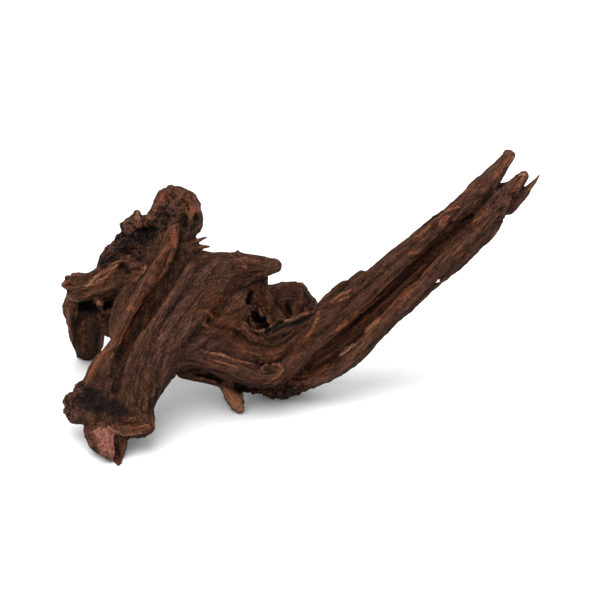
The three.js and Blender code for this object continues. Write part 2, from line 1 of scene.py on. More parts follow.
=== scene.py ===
"""Driftwood root, dressed: the CAD root's strands on a fine grid, with grain, cracks, knots and colour.

The root is drawn on a sheet that is square to the line of sight: u runs right along it, v runs down it
and w stands out of it towards the eye, all in millimetres. Blender's own frame is the CAD frame, in metres.
"""
import itertools
import math

import bpy
import numpy as np
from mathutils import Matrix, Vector


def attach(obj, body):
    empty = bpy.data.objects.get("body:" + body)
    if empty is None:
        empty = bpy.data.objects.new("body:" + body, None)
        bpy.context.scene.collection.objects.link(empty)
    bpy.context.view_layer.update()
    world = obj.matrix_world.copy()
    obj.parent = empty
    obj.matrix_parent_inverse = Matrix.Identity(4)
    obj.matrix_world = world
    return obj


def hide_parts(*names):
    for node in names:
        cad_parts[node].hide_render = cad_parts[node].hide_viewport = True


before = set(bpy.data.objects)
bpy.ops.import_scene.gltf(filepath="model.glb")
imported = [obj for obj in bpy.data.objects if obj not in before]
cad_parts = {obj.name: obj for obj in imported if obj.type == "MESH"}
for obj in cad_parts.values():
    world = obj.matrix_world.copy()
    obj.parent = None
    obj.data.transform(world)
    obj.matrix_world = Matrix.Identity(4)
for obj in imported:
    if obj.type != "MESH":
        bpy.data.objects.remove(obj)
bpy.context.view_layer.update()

# The sheet in the ground frame, as in the CAD part
SHEET_LEAN = math.radians(30)
SHEET_GROUND = 466
SHEET_CENTRE = 297.77
DEPTH_CENTRE = 116.67
MM = 0.001

# The fine grid
CELL = 1.5
STRAND_STEP = 5
LEAST_MARGIN = 6
GRID_LOW = np.array((48.0, 138.0, -218.0))
GRID_HIGH = np.array((552.0, 478.0, 14.0))
FAR = 1000.0
TRIANGLES = 190000

# The strands, as in the CAD part: depth for width, blend, and points as right, down, forward
# and half width.
STRANDS = {
    "trunk": (0.85, 10, (171, 224, -84, 19), (171, 241, -84, 22), (173, 258, -83, 28),
        (171, 284, -78, 35), (162, 322, -70, 38), (145, 360, -56, 33), (124, 394, -42, 31),
        (113, 412, -34, 29)),
    "knob": (0.9, 6, (168, 212, -82, 17), (175, 206, -80, 20), (182, 210, -76, 18), (184, 222, -74, 18)),
    "knob cheek": (0.9, 4, (190, 216, -66, 10), (194, 224, -64, 9), (187, 236, -68, 7)),
    "shelf": (0.8, 5, (168, 220, -92, 14), (150, 226, -94, 13), (134, 228, -94, 12), (127, 227, -95, 8)),
    "shelf tooth": (0.9, 3, (138, 226, -87, 9), (137.5, 219, -87, 7), (137, 213, -88, 4.2)),
    "left shoulder": (0.8, 7, (164, 256, -88, 26), (140, 256, -92, 23), (122, 258, -94, 20),
        (110, 268, -94, 14)),
    "shoulder edge": (0.9, 4, (134, 232, -98, 9), (123, 241, -98, 8), (113.5, 251, -97, 8),
        (106, 262, -96, 8)),
    "left flank": (0.8, 7, (148, 280, -70, 20), (136, 300, -66, 18), (124, 322, -60, 13),
        (119.5, 336, -54, 9)),
    "left bar": (0.85, 4, (138, 274, -66, 13), (114, 281, -74, 12.5), (92, 287, -81, 11.5),
        (76, 286, -87, 10)),
    "left bar rim": (0.9, 3, (130, 263, -74, 9), (106, 272, -80, 7.5), (88, 279, -85, 7),
        (74, 279, -90, 7.5), (67, 284, -92, 6)),
    "left bar lip": (0.9, 3, (112, 288, -74, 6), (94, 293, -80, 6), (78, 297, -86, 7), (70, 295, -90, 5)),
    "rear leg": (0.5, 6, (114, 288, -98, 19), (97, 302, -114, 21), (85, 320, -138, 18),
        (83, 337, -161, 15.5), (84, 347, -175, 11.5), (83.5, 354.5, -185, 8)),
    "rear leg edge": (0.8, 3, (75, 296, -98, 9), (71.5, 310, -114, 8), (72, 328, -140, 7),
        (74, 344, -166, 5), (74.5, 352, -178, 3), (74, 358, -184, 1.4)),
    "rear leg web": (0.7, 4, (110, 300, -94, 13), (100, 318, -122, 9), (93, 334, -150, 7),
        (92, 347, -171, 6.5), (94.5, 358, -180, 3)),
    "spine": (0.9, 7, (175, 227, -56, 6), (170, 244, -53, 7.5), (161, 267, -48, 9), (149, 288, -43, 10),
        (137, 308, -39, 10), (127, 328, -36, 9.5), (117.5, 349, -34, 9.5), (105, 367, -34, 12),
        (95, 384, -36, 11.5)),
    "second strand": (0.9, 3, (195, 265, -60, 5), (189, 274, -50, 7), (178, 291, -42, 8.5),
        (166, 307, -37, 9), (152, 331, -31, 10.5), (142, 354, -26, 11.5), (134, 380, -22, 12.5),
        (127, 404, -18, 13)),
    "swell": (0.9, 6, (218, 276, -60, 18), (198, 298, -54, 23), (178, 324, -46, 22), (161, 348, -36, 20),
        (151, 374, -28, 17), (145, 398, -22, 14), (142, 416, -18, 11)),
    "right body": (0.85, 9, (185, 290, -84, 34), (218, 304, -88, 40), (248, 328, -96, 38),
        (276, 354, -104, 32), (298, 364, -108, 26)),
    "nose": (0.85, 8, (206, 274, -70, 20), (232, 271, -67, 17), (250, 268, -66, 13),
        (262, 267.5, -66, 11), (273.5, 265.8, -68, 8.3)),
    "nose top": (0.9, 8, (198, 259, -72, 9), (216, 262.5, -72, 8.5), (238, 263, -71, 8.5),
        (256, 264.5, -70, 6.5)),
    "rear stub": (0.9, 6, (250, 322, -108, 27), (274, 306, -112, 22), (291, 300, -114, 17),
        (301, 307, -112, 15), (308, 320, -108, 16)),
    "rear stub lip": (0.9, 3, (272, 297, -112, 9), (286, 291, -113, 8), (299, 289, -114, 7)),
    "belly": (0.9, 5, (236, 306, -70, 18), (214, 330, -60, 20), (192, 344, -52, 18)),
    "wave": (0.9, 6, (172, 362, -46, 9), (190, 356, -50, 11), (214, 362, -54, 12), (238, 371, -60, 11),
        (258, 376, -66, 11), (276, 375, -70, 10), (296, 358, -72, 10), (312, 336, -75, 9)),
    "under shelf": (0.8, 4, (182, 373, -86, 5), (204, 377, -90, 6), (232, 382, -98, 9),
        (262, 385, -104, 11), (288, 385, -108, 13), (314, 377, -104, 11), (334, 369, -96, 9)),
    "elbow": (1, 7, (256, 370, -110, 19), (285, 375, -119, 20.5), (310, 365, -108, 17)),
    "middle foot": (1, 3, (226, 378, -100, 9), (232, 393, -95, 9), (238, 404, -90, 7.5),
        (239, 409, -88, 5)),
    "arm upper bar": (1, 4, (284, 366, -90, 15), (300, 350, -84, 17), (322, 330, -78, 18),
        (350, 305, -72, 18), (378, 281, -66, 16), (410, 252, -58, 14), (430, 234, -54, 12.5),
        (450, 218, -48, 12), (474, 196, -40, 11), (492, 176, -34, 9), (508, 156, -28, 6.5)),
    "arm shoulder": (0.9, 4, (316, 332, -92, 14), (326, 312, -88, 12), (338, 298, -82, 10),
        (362, 278, -74, 8)),
    "arm lower bar": (1.1, 4, (284, 387, -100, 10), (316, 379, -92, 8), (349.5, 358.5, -84, 9),
        (377, 331, -74, 9.5), (410, 299, -66, 9.5), (430, 279, -60, 10), (450, 259, -54, 13),
        (480, 228, -45, 15), (498, 206, -38, 13), (510.5, 190, -34, 8.5), (522.5, 177, -30, 5.5)),
    "arm web": (0.6, 4, (300, 368, -98, 14), (340, 342, -87, 14), (378, 308, -78, 14),
        (410, 278, -69, 13), (450, 240, -57, 13), (480, 208, -45, 12), (494, 196, -40, 10),
        (502, 188, -37, 5)),
    "arm back": (0.9, 8, (290, 364, -114, 20), (350, 330, -98, 22), (400, 286, -84, 19),
        (450, 240, -70, 15), (480, 210, -58, 10)),
    "third tip": (1, 3, (508, 208, -38, 8), (521.5, 195.5, -36, 5.2), (530, 186.5, -35, 3.2),
        (538, 176, -34, 1.2)),
    "toe": (0.8, 4, (113, 420, -22, 21), (113, 432, -18, 17.5), (116, 444, -16, 12.5), (118, 453, -14, 8),
        (120, 461, -8, 4.2), (120.3, 466, -4, 1.3)),
    "left spur": (0.8, 4, (104, 396, -34, 20), (86, 400, -36, 17), (78, 407, -36, 13), (78, 414, -34, 9)),
    "right spur": (0.8, 4, (128, 412, -24, 22), (140, 419, -20, 17), (147, 427, -18, 8.5)),
    "splinter a": (1, 2, (184, 247, -66, 5), (195, 242, -66, 3), (206, 237.5, -66, 1.6)),
    "splinter b": (1, 2, (188, 250, -66, 5), (200, 247, -66, 3), (209.5, 246.5, -66, 1.5)),
    "under body": (0.8, 7, (178, 360, -80, 12), (204, 366, -92, 14), (236, 372, -100, 15)),
    "crotch": (0.9, 7, (288, 334, -112, 18), (304, 333, -106, 15), (320, 328, -98, 13)),
    "back ridge left": (0.9, 8, (160, 234, -104, 10), (148, 266, -108, 13), (138, 304, -96, 14),
        (127, 346, -80, 13), (112, 384, -62, 11)),
    "back ridge middle": (0.9, 8, (182, 230, -100, 9), (190, 262, -108, 12), (182, 304, -108, 14),
        (166, 344, -92, 14), (148, 378, -70, 13), (136, 404, -50, 10)),
    "back ridge right": (0.9, 8, (200, 268, -100, 10), (222, 298, -118, 14), (250, 328, -128, 15),
        (282, 352, -130, 14), (316, 356, -120, 11)),
    "arm back ridge": (0.9, 6, (306, 344, -118, 10), (350, 312, -111, 10), (400, 274, -96, 9),
        (446, 234, -81, 8), (484, 202, -64, 5)),
    "arm back keel": (0.9, 6, (300, 376, -120, 11), (338, 352, -108, 10), (388, 308, -91, 9),
        (440, 262, -77, 9), (482, 224, -60, 7)),
    "wave back": (0.9, 6, (196, 348, -66, 13), (222, 350, -74, 15), (252, 356, -82, 15),
        (282, 352, -86, 13)),
    "nose plate": (0.9, 6, (204, 270, -88, 15), (230, 272, -86, 12), (252, 270, -80, 9)),
    "knob crown": (0.9, 3, (166, 197, -80, 8.5), (173, 193.5, -76, 8), (182, 197, -72, 7),
        (190, 207, -68, 7.5)),
    "knob left cheek": (0.9, 4, (163, 205, -92, 9), (156, 212, -90, 8.5), (152, 220, -86, 8)),
    "knob back": (0.9, 4, (180, 200, -94, 9), (184, 214, -98, 9), (180, 230, -102, 8)),
    "rear leg rib": (0.9, 4, (78, 292, -118, 9), (70, 306, -138, 9), (72, 318, -160, 8),
        (76, 332, -180, 6)),
    "rear leg heel": (0.9, 4, (102, 292, -118, 10), (98.5, 306, -144, 9), (96, 320, -162, 8),
        (95, 335, -176, 7.5), (94.5, 346, -181, 6.5)),
    "under ridge": (0.9, 6, (188, 318, -112, 13), (172, 346, -102, 13), (152, 376, -84, 12),
        (134, 402, -62, 11), (122, 422, -44, 9)),
    "nose root": (0.9, 5, (236, 280, -78, 14), (252, 281, -80, 11), (257, 283, -82, 9)),
    "rear leg flute": (0.8, 3, (90, 312, -118, 8), (86, 329, -144, 8), (84, 345, -168, 7),
        (83, 355, -182, 5)),
    "rear leg splinter": (1, 2, (92, 344, -172, 5), (90, 353, -182, 3.5), (91, 359, -184, 1.2)),
    "toe left": (0.8, 3, (98, 418, -20, 13), (98, 432, -17, 10.5), (100, 443, -14, 8.5),
        (101, 448, -12, 5)),
    "toe face": (0.7, 2, (103, 428, -8, 8.5), (106, 440, -5, 9.5), (109, 450, -4, 8), (113, 457, -5, 3)),
    "toe ledge": (0.8, 2.5, (116, 429, -9, 6), (132, 429, -8, 7), (146, 426, -12, 6.5)),
    "spur bridge": (0.8, 5, (82, 411, -30, 11), (98, 412, -24, 14)),
    "bar crest": (0.9, 2.5, (82, 287, -79, 3), (98, 277, -72, 3), (114, 267, -66, 3), (122, 262, -63, 3)),
    "rear leg corner": (0.8, 4, (112, 297, -98, 13), (110, 313, -112, 11), (107, 329, -126, 8.5)),
    "belly fold high": (0.9, 3, (212, 322, -54, 9), (228, 323, -57, 9), (244, 329, -62, 8),
        (254, 338, -67, 7), (264, 342, -70, 5)),
    "belly fold low": (0.9, 7, (204, 340, -52, 10), (222, 343, -57, 11), (242, 350, -64, 11),
        (264, 354, -70, 9), (284, 346, -73, 8), (302, 331, -75, 7), (316, 317, -78, 5)),
    "cavity rim": (0.9, 3, (262, 340, -72, 5), (276, 334, -74, 6), (292, 324, -76, 6),
        (308, 316, -80, 5)),
    "nose bump left": (0.9, 2, (230, 259, -72, 5), (237, 254.5, -72, 3)),
    "nose bump right": (0.9, 2, (249, 261, -71, 5), (255.5, 257.5, -71, 2.6)),
    "rear stub rib": (0.9, 3, (276, 318, -100, 7), (279, 304, -103, 7), (281, 293, -106, 6)),
    "rear stub rib right": (0.9, 3, (294, 316, -98, 6), (298, 304, -102, 6), (299, 293, -106, 5)),
    "toe heel": (0.8, 4, (116, 424, -40, 14), (112, 438, -34, 10), (110, 447, -27, 8)),
    "shelf lobe left": (0.9, 3, (130, 228, -88, 8), (124, 224, -90, 5.5)),
    "shelf lobe right": (0.9, 3, (150, 222, -84, 8), (158, 216, -82, 7)),
    "knob right lobe": (0.9, 2.5, (190, 206, -66, 9), (194, 216, -62, 9), (192, 226, -63, 7)),
    "shelf lobe low": (0.9, 3, (134, 238, -92, 8), (124, 238, -93, 6.5), (118, 237.5, -94, 4)),
    "hanging lump": (0.9, 2, (97, 295, -78, 5), (99.5, 302, -80, 4.6), (100.5, 307.5, -82, 2.6)),
    "neck": (0.9, 5, (257, 278, -76, 11), (257, 292, -80, 11), (261, 305, -82, 12), (270, 318, -88, 11)),
    "rear stub corner": (0.9, 3, (300, 291, -113, 7), (309, 301, -111, 7), (316, 311, -108, 6)),
    "stub face": (0.9, 5, (278, 304, -108, 12), (290, 302, -108, 12), (300, 308, -108, 10)),
}

# Grooves, slits and holes, taken out of the strands, in the same form.
CUTS = {
    "slit under the wave": (6, 2, (184, 374, -66, 1.2), (200, 375, -72, 2.5), (216, 379, -76, 3),
        (236, 388, -80, 3.2), (256, 391, -84, 2.5)),
    "arm groove": (1.6, 4, (296, 373, -76, 1.5), (316, 356, -77, 2.6), (342, 334, -73, 3.2),
        (378, 301, -64, 3.8), (408, 273, -55, 4.2), (444, 242, -44, 4.6), (468, 218, -37, 4)),
    "spine groove": (1, 4, (184, 257, -50, 4), (173, 276, -42, 6.5), (158, 297, -37, 8),
        (144, 319, -33.5, 8), (129, 345, -28, 8), (120, 367, -23.5, 7.5), (117, 386, -18, 6)),
    "hole behind the nose": (4, 2, (252, 292, -66, 2.2), (249, 298, -64, 3), (247, 303, -66, 2.4)),
    "right cavity": (1.8, 2.5, (254, 315, -66, 3.6), (260, 321, -68, 6), (266, 328, -70, 4.5)),
    "left cavity": (2, 3, (83, 306, -98, 6.5), (91, 306, -98, 6.5)),
    "pinhole": (10, 1, (439, 280, -62, 2.2), (436, 283, -62, 1.6)),
    "rear leg back groove": (1, 4, (92, 290, -126, 3), (86, 304, -152, 5), (87, 318, -178, 5),
        (87, 332, -196, 3)),
    "arm under groove": (1, 4, (330, 376, -112, 2), (366, 344, -98, 3.5), (410, 300, -84, 3.5),
        (452, 262, -72, 3), (484, 234, -62, 2)),
    "left cavity right": (2, 3, (106, 306, -92, 4.5), (113, 303, -86, 3.6)),
}

# How far out a strand's grain is felt and how fast it fades, how far apart the strands' grain patterns
# lie, the half width taken where no strand is near, the direction across a strand's start, and a number
# that keeps a division from being by zero
GRAIN_REACH = 7.0
GRAIN_FADE = 2.5
STRAND_APART = np.array((211.3, 37.7, 53.9))
PLAIN_HALF = 10.0
FIRST_SIDE = (0.31, 0.2, 0.93)
SMALL = 1e-6

# Noises of the grain, on the place along and across a strand: lump size, seed and height in millimetres
GRAIN_NOISES = (((70, 11, 11), 11, 1.3), ((34, 5.2, 5.2), 1, 1.0), ((14, 2.4, 2.4), 2, 0.7))
FLAKES = ((30, 7, 7), 3)
FLAKE_RANGE = (0.02, 0.12)
FLAKE_HEIGHT = 1.3
CRACKS = ((48, 8, 8), 4)
CRACKED_PLACES = ((40, 20, 20), 5)
CRACKED_RANGE = (-0.15, 0.2)
CRACK_WIDTH = 0.09
CRACK_DEPTH = 2.6
GRAIN_MIDDLE = 0.6

# Lumps, knots and pits that don't follow the grain: size, seed and height in millimetres
BROAD_LUMPS = ((26, 6, 1.8), (12, 7, 1.0))
BROAD_SHARE = 0.6
FINE_LUMPS = ((3.4, 12, 0.5),)
KNOTS = ((7.5, 8, 1.7), (3.6, 9, 2.1))
PITS = (5, 10)
PIT_RANGE = (0.2, 0.45)
PIT_DEPTH = 2.2

# Less grain on knotted wood, and less relief on thin strands
KNOTTED_GRAIN_LOSS = 0.45
FULL_RELIEF_HALF = 11
LEAST_RELIEF = 0.3

# Strokes: bit length, reach and shortest end in half widths, and the share of the length that narrows.
# They lie on points that face the eye and are near the foremost depth.
STROKE_STEP = 4
STROKE_REACH = 2.2
STROKE_END = 0.3
STROKE_TAPER = 0.25
LEAST_FACING = 0.05
FRONT_DEPTH = 9.0

# Rounds of evening out for the material's values, how far down an underside faces for its painted shade,
# and the lowest point in metres
BEND_ROUNDS = 1
BROAD_BEND_ROUNDS = 12
UNDER_ROUNDS = 8
UNDER_RANGE = (0.2, -0.8)
LOWEST = 0.0001

# Knotted and burnt places: right, down, forward and radius
GNARLS = (
    (174, 210, -78, 36),
    (128, 234, -92, 46),
    (64, 282, -92, 18),
    (90, 306, -98, 24),
    (74, 400, -34, 26),
    (104, 452, -14, 16),
    (312, 302, -112, 22),
    (260, 320, -66, 22),
    (262, 392, -104, 46),
    (300, 384, -110, 40),
)

# Lines drawn on the front: height in millimetres, half width and route on the sheet
RELIEF_STROKES = {
    "deep crease by the arm": (-2.2, 1.5, (252, 343), (266, 346), (281, 344), (292, 336), (305, 326),
        (317, 315)),
    "rim above the crease": (1.3, 1.3, (278, 319), (286, 321), (296, 319), (306, 314.5), (318, 311)),
    "arm root crest": (2.2, 2, (319, 310), (315, 324), (307, 336), (295, 348)),
    "arm root line": (-1.6, 1.3, (322, 322), (308, 342), (292, 356)),
    "arm shoulder fold": (2.2, 2.6, (318, 312), (326, 298), (336, 286), (351, 281)),
    "loop rim": (2, 1.4, (258, 369), (268, 365), (279, 365), (283, 370), (275, 378), (263, 384)),
    "loop face": (-1.4, 3.2, (266, 374), (275, 370)),
    "wave pinch": (-3, 1.5, (254, 355), (257, 362), (260, 368), (264, 361)),
    "wave crest high": (1.8, 1.4, (196, 346), (205, 352), (222, 354), (238, 361), (256, 366)),
    "wave band": (-0.9, 1.8, (206, 356), (222, 358), (238, 365)),
    "wave crest low": (1.6, 1.4, (208, 359), (226, 363), (244, 369)),
    "wave under line": (-1.4, 1.4, (172, 366), (192, 362), (212, 366), (232, 373), (252, 378)),
    "crack under the wave": (-3.4, 1.5, (181, 373), (192, 371), (203, 372), (215, 377), (230, 383),
        (246, 387)),
    "lip under the wave": (1.2, 1.4, (186, 378), (200, 378), (212, 383), (222, 388)),
    "belly valley": (-1.2, 1.5, (214, 326), (228, 329), (242, 335), (252, 344)),
    "wave root line": (-1.8, 1.4, (168, 354), (180, 349), (194, 346)),
    "belly curl high": (1.8, 1.6, (201, 311), (208, 312), (214, 319)),
    "belly curl low": (1.4, 1.8, (202, 322), (208, 327)),
    "belly curl spot": (-2.2, 1.7, (210, 317), (212, 322)),
    "belly curl hollow": (-1, 1.3, (203, 315), (208, 316), (213, 323)),
    "cavity teeth": (-2.6, 1.4, (249, 317), (250, 322), (253, 327)),
    "cavity tooth high": (-3, 1.3, (257, 308), (258, 316), (260, 322)),
    "cavity tooth middle": (-2.6, 1.2, (254, 314), (256, 321), (259, 326)),
    "cavity tooth right": (-2.4, 1.2, (263, 316), (266, 322), (268, 327)),
    "cavity rib": (1.6, 1, (256, 316), (258, 323), (261, 328)),
    "valley line": (-1.5, 1.2, (249, 330), (258, 334), (270, 333), (284, 327), (300, 321), (312, 316)),
    "valley line low": (-1.3, 1.1, (250, 337), (264, 340), (280, 337), (296, 330), (310, 322)),
    "cavity lip": (1.6, 1.3, (254, 330), (264, 331), (274, 324), (280, 320)),
    "stub rib": (2, 1.3, (295, 290), (290, 294), (291, 304), (295, 314)),
    "stub rib left": (1.8, 1.3, (286, 291), (284, 300), (285, 311)),
    "stub rib right": (1.4, 1.5, (302, 292), (303, 302), (308, 311)),
    "stub recess": (-2.4, 1.8, (288, 300), (288, 308), (291, 315)),
    "stub line": (-1.6, 1.2, (279, 290), (277, 299), (279, 308)),
    "stub line right": (-1.4, 1.1, (298, 294), (298, 303), (301, 312)),
    "stub top edge": (1.4, 1.4, (272, 288), (284, 284.5), (297, 282)),
    "neck crease": (-1.8, 1.3, (247, 304), (258, 303), (268, 305)),
    "belly crease high": (-2.2, 1.2, (214, 313), (225, 315), (238, 311), (246, 306)),
    "belly crease low": (-1.8, 1.3, (214, 326), (231, 329), (243, 335), (250, 343), (258, 344)),
    "belly swirl": (-1.2, 1.4, (180, 352), (192, 338), (206, 334), (222, 340), (240, 350)),
    "belly swirl high": (-1, 1.4, (176, 340), (190, 322), (201, 316)),
    "belly pit": (-1.8, 1.8, (219, 300), (223, 302)),
    "nose fold": (1.4, 2, (226, 277), (242, 271), (262, 266)),
    "nose fold low": (-1.2, 1.8, (228, 286), (240, 281), (254, 277)),
    "under the shelf": (-2.6, 2.2, (134, 231), (146, 230), (157, 228)),
    "swell groove": (-2.4, 2, (196, 277), (184, 294), (172, 311), (161, 328)),
    "bar groove": (-1.6, 1.4, (80, 293), (96, 286), (110, 278)),
    "bar line high": (-1.8, 1, (70, 286), (84, 281), (98, 272), (110, 265)),
    "bar line middle": (-1.8, 1, (76, 290), (90, 283.5), (101, 277), (112, 270)),
    "bar line low": (-2.2, 1.2, (79, 294), (90, 289), (96, 285)),
    "bar line foot": (-1.6, 1, (96, 292), (108, 284), (120, 277)),
    "bar rib low": (1.2, 1, (98, 296), (110, 288), (122, 281)),
    "leg rib left": (1.4, 1.3, (67, 306), (69, 322), (72, 344)),
    "leg line left": (-1.4, 1.2, (72, 312), (74, 328), (77, 350)),
    "leg line middle": (-1.4, 1.3, (84, 322), (84, 338), (86, 354)),
    "leg line right side": (-1.6, 1.6, (98, 326), (96, 340), (95, 352)),
    "leg rib right": (1.2, 1.4, (91, 320), (90, 336), (91, 350)),
    "bar end ring": (-2.4, 2.2, (119, 263), (127, 267), (128, 274)),
    "swell line": (-1.3, 1.5, (208, 284), (190, 308), (172, 334), (158, 360), (150, 388)),
    "leg line": (-1, 1.4, (148, 342), (140, 366), (136, 392)),
    "leg line right": (-1.2, 1.4, (166, 350), (158, 372), (153, 394)),
    "upper bar line": (-1.3, 1.3, (330, 316), (380, 274), (430, 230), (480, 188)),
    "upper bar line low": (-1.2, 1.2, (322, 338), (372, 296), (424, 251), (470, 208)),
    "upper bar ridge": (1.3, 1.4, (344, 300), (384, 266), (430, 226), (462, 198)),
    "groove crack": (-2, 1.3, (312, 356), (348, 327), (384, 297), (424, 260)),
    "groove line": (-1.4, 1.3, (330, 352), (366, 322), (404, 288), (440, 254), (470, 222)),
    "lower bar line": (-1.4, 1.3, (330, 374), (372, 345), (412, 306), (452, 268), (490, 228)),
    "lower bar ledge": (1.8, 1.7, (330, 362), (360, 341), (382, 322), (402, 302), (424, 280), (440, 256)),
    "lower tip line": (-1.4, 1.2, (470, 234), (492, 212), (508, 194)),
    "bar ridge high": (1.8, 1.3, (84, 281), (104, 273), (124, 261)),
    "bar ridge low": (1.4, 1.2, (90, 287), (101, 282), (108, 275)),
    "bar lip": (1.4, 1.4, (79, 301), (92, 294), (108, 290)),
    "knob crest": (2, 1.6, (173, 187), (184, 197), (195, 206), (200, 216)),
    "knob lump left": (1.6, 3.4, (162, 204), (160, 212)),
    "knob eye": (-3.4, 3, (196, 214), (197, 221)),
    "nose bump left": (2.6, 2.2, (236, 253), (238, 255)),
    "nose bump right": (2.6, 2, (255, 257), (257, 259)),
    "knob shade": (-1.6, 3.6, (183, 212), (186, 230)),
    "knob ring": (1.6, 1.4, (191, 209), (198, 209), (200, 217), (197, 226)),
    "knob crease": (-1.8, 1.5, (166, 224), (178, 222), (186, 218)),
    "knob fold": (-1.4, 1.6, (160, 206), (168, 212), (170, 222)),
    "spine web": (2.6, 3.6, (163, 254), (154, 270), (138, 296), (127, 318), (116, 338)),
    "spine crest": (-2, 5, (169, 252), (153, 280), (136, 308), (122, 336)),
    "spine notch": (-1.8, 1.6, (158, 262), (168, 268)),
    "spine notch low": (-1.8, 1.6, (144, 284), (156, 291)),
    "spine lump": (1.8, 2.8, (153, 275), (150, 284)),
    "spine lump low": (2, 2.4, (133, 305), (129, 314)),
    "spine crack": (-1.8, 1.1, (172, 250), (164, 266), (154, 284), (141, 306)),
    "neck line": (-1.8, 1.2, (256, 282), (262, 292), (268, 304)),
    "neck line low": (-1.6, 1.2, (258, 300), (266, 310), (276, 318)),
    "neck fold": (1.6, 1.6, (262, 286), (268, 294), (272, 300)),
    "nose ridge": (1.4, 1.8, (236, 266), (248, 263), (262, 262)),
    "nose pit": (-1.8, 1.8, (212, 268), (214, 272)),
    "trunk pit": (-1.8, 1.8, (178, 296), (182, 298)),
    "nose under line": (-1.8, 1.2, (222, 294), (236, 290), (250, 284)),
    "toe fold": (-2.6, 1.5, (118, 433), (120, 444), (122, 456)),
    "toe curl line": (-2, 1.2, (98, 423), (110, 425), (118, 421), (130, 416), (146, 412)),
    "toe curl crest": (1.8, 1.8, (104, 418), (116, 416), (128, 410), (142, 406)),
    "spur crack": (-1.8, 1.1, (82, 427), (92, 422), (104, 423)),
    "fresh line": (-1.4, 0.9, (106, 430), (108, 440), (111, 452)),
    "fresh line right": (-1.2, 0.9, (112, 428), (113, 440), (115, 452)),
    "toe crack": (-1.8, 1.1, (103, 428), (106, 438), (110, 450)),
    "toe crack left": (-1.4, 1.1, (97, 424), (99, 438), (103, 449)),
    "toe shelf line": (1.4, 1.2, (84, 425), (97, 421), (108, 426), (124, 420), (140, 418)),
}

# Colours drawn on the front: strength, half width and route on the sheet
RUST_STROKES = {
    "spine tip": (0.8, 4, (174, 226), (175, 248)),
    "bar streak middle": (1, 2.2, (101, 275), (109, 271), (117, 267)),
    "bar streak low": (1, 1.1, (88, 287), (100, 283), (108, 275), (118, 269)),
    "bar lip": (0.9, 1.4, (79, 301), (86, 297), (93, 293)),
    "shoulder patch": (1, 1.8, (143, 266), (139, 276), (133, 282)),
    "spine edge high": (0.7, 1.3, (168, 254), (162, 266), (153, 284)),
    "spine edge": (0.6, 1.4, (146, 298), (134, 320), (124, 344)),
    "bar branch": (0.9, 0.9, (92, 281), (99, 272), (106, 266), (112, 261)),
    "spine spot": (0.9, 2.4, (129, 310), (135, 308)),
    "leg edge": (0.85, 1.8, (112, 336), (103, 354), (92, 372), (85, 390)),
    "left spur": (0.8, 3.4, (73, 391), (80, 389)),
    "bar tip": (0.8, 3, (62, 284), (66, 280)),
    "knob edge": (0.9, 3.4, (152, 214), (158, 202), (165, 194)),
    "shelf tooth foot": (0.7, 4, (139, 222), (137, 227)),
    "shelf rim": (0.8, 1.6, (122, 223), (128, 219)),
    "knob root": (0.9, 3, (146, 213), (152, 219)),
    "knob cheek": (0.8, 3.6, (192, 206), (194, 226)),
    "belly curl": (0.9, 1.2, (201, 310), (208, 311.5), (212, 315), (215, 320)),
    "belly curl low": (0.9, 1.8, (202, 322), (205, 324), (209, 327)),
    "wave top": (0.9, 1.2, (198, 347), (206, 352), (222, 354), (238, 361), (256, 366)),
    "wave top low": (0.9, 1.1, (209, 359), (226, 363), (243, 368)),
    "loop end": (0.8, 1.2, (258, 369), (268, 365), (279, 365), (283, 370), (275, 378), (264, 384)),
    "bright rim end": (0.8, 0.8, (298, 318), (304, 315), (311, 313)),
    "nose spot": (0.9, 1.5, (242, 266), (248, 268)),
    "nose spot high": (0.6, 1.2, (231, 264), (240, 260), (252, 258)),
    "nose low edge": (0.5, 2.2, (226, 300), (238, 297), (246, 296)),
    "arm root": (0.9, 1.1, (321, 309), (316, 322), (308, 336)),
    "arm fold": (0.9, 1.8, (328, 303), (338, 295), (352, 289)),
    "arm fold low": (0.9, 1.2, (340, 300), (350, 295)),
    "arm spot": (0.8, 2.2, (336, 331), (348, 319)),
    "arm spot high": (0.8, 2, (407, 254), (420, 252)),
    "arm line high": (0.8, 1, (444, 213), (452, 209), (460, 207)),
    "arm patch": (0.6, 4, (438, 226), (448, 216)),
    "arm patch middle": (0.5, 4, (412, 240), (430, 228)),
    "lower bar edge": (1, 1.3, (366, 329), (380, 316), (394, 303), (404, 291), (420, 280)),
    "lower bar line": (1, 1.1, (420, 278), (430, 266), (438, 256)),
    "lower bar patch": (0.6, 4, (400, 300), (412, 290)),
    "groove lip": (0.8, 1, (470, 224), (480, 212), (487, 206)),
    "tip": (0.6, 3, (474, 222), (486, 208)),
    "upper tip": (0.7, 4, (492, 180), (500, 170), (511, 154)),
    "lower tips": (0.8, 3, (512, 192), (523, 177)),
    "elbow": (0.6, 3, (296, 378), (312, 374), (330, 364)),
    "arm line middle": (0.7, 0.9, (352, 322), (372, 305), (390, 290)),
    "arm edge high": (0.6, 1, (396, 246), (420, 226), (446, 204)),
    "leg line": (0.6, 1.2, (158, 344), (152, 362), (146, 378)),
    "leg patch": (0.45, 3.5, (150, 396), (146, 410)),
    "swell": (0.5, 2.2, (158, 340), (164, 330)),
    "trunk low": (0.4, 2, (92, 398), (98, 386)),
    "spur": (0.5, 2.5, (68, 416), (76, 420)),
    "toe ledge": (0.32, 8, (112, 424), (128, 427), (142, 425), (158, 422)),
    "toe shelf": (0.45, 2.4, (104, 421), (122, 416), (142, 420)),
    "toe left": (0.5, 4, (92, 430), (96, 446)),
    "rear leg left": (0.66, 3.4, (66, 300), (66, 318), (70, 350)),
    "rear leg middle": (0.34, 8, (82, 322), (84, 356)),
    "rear leg right": (0.55, 5, (100, 316), (97, 350)),
}
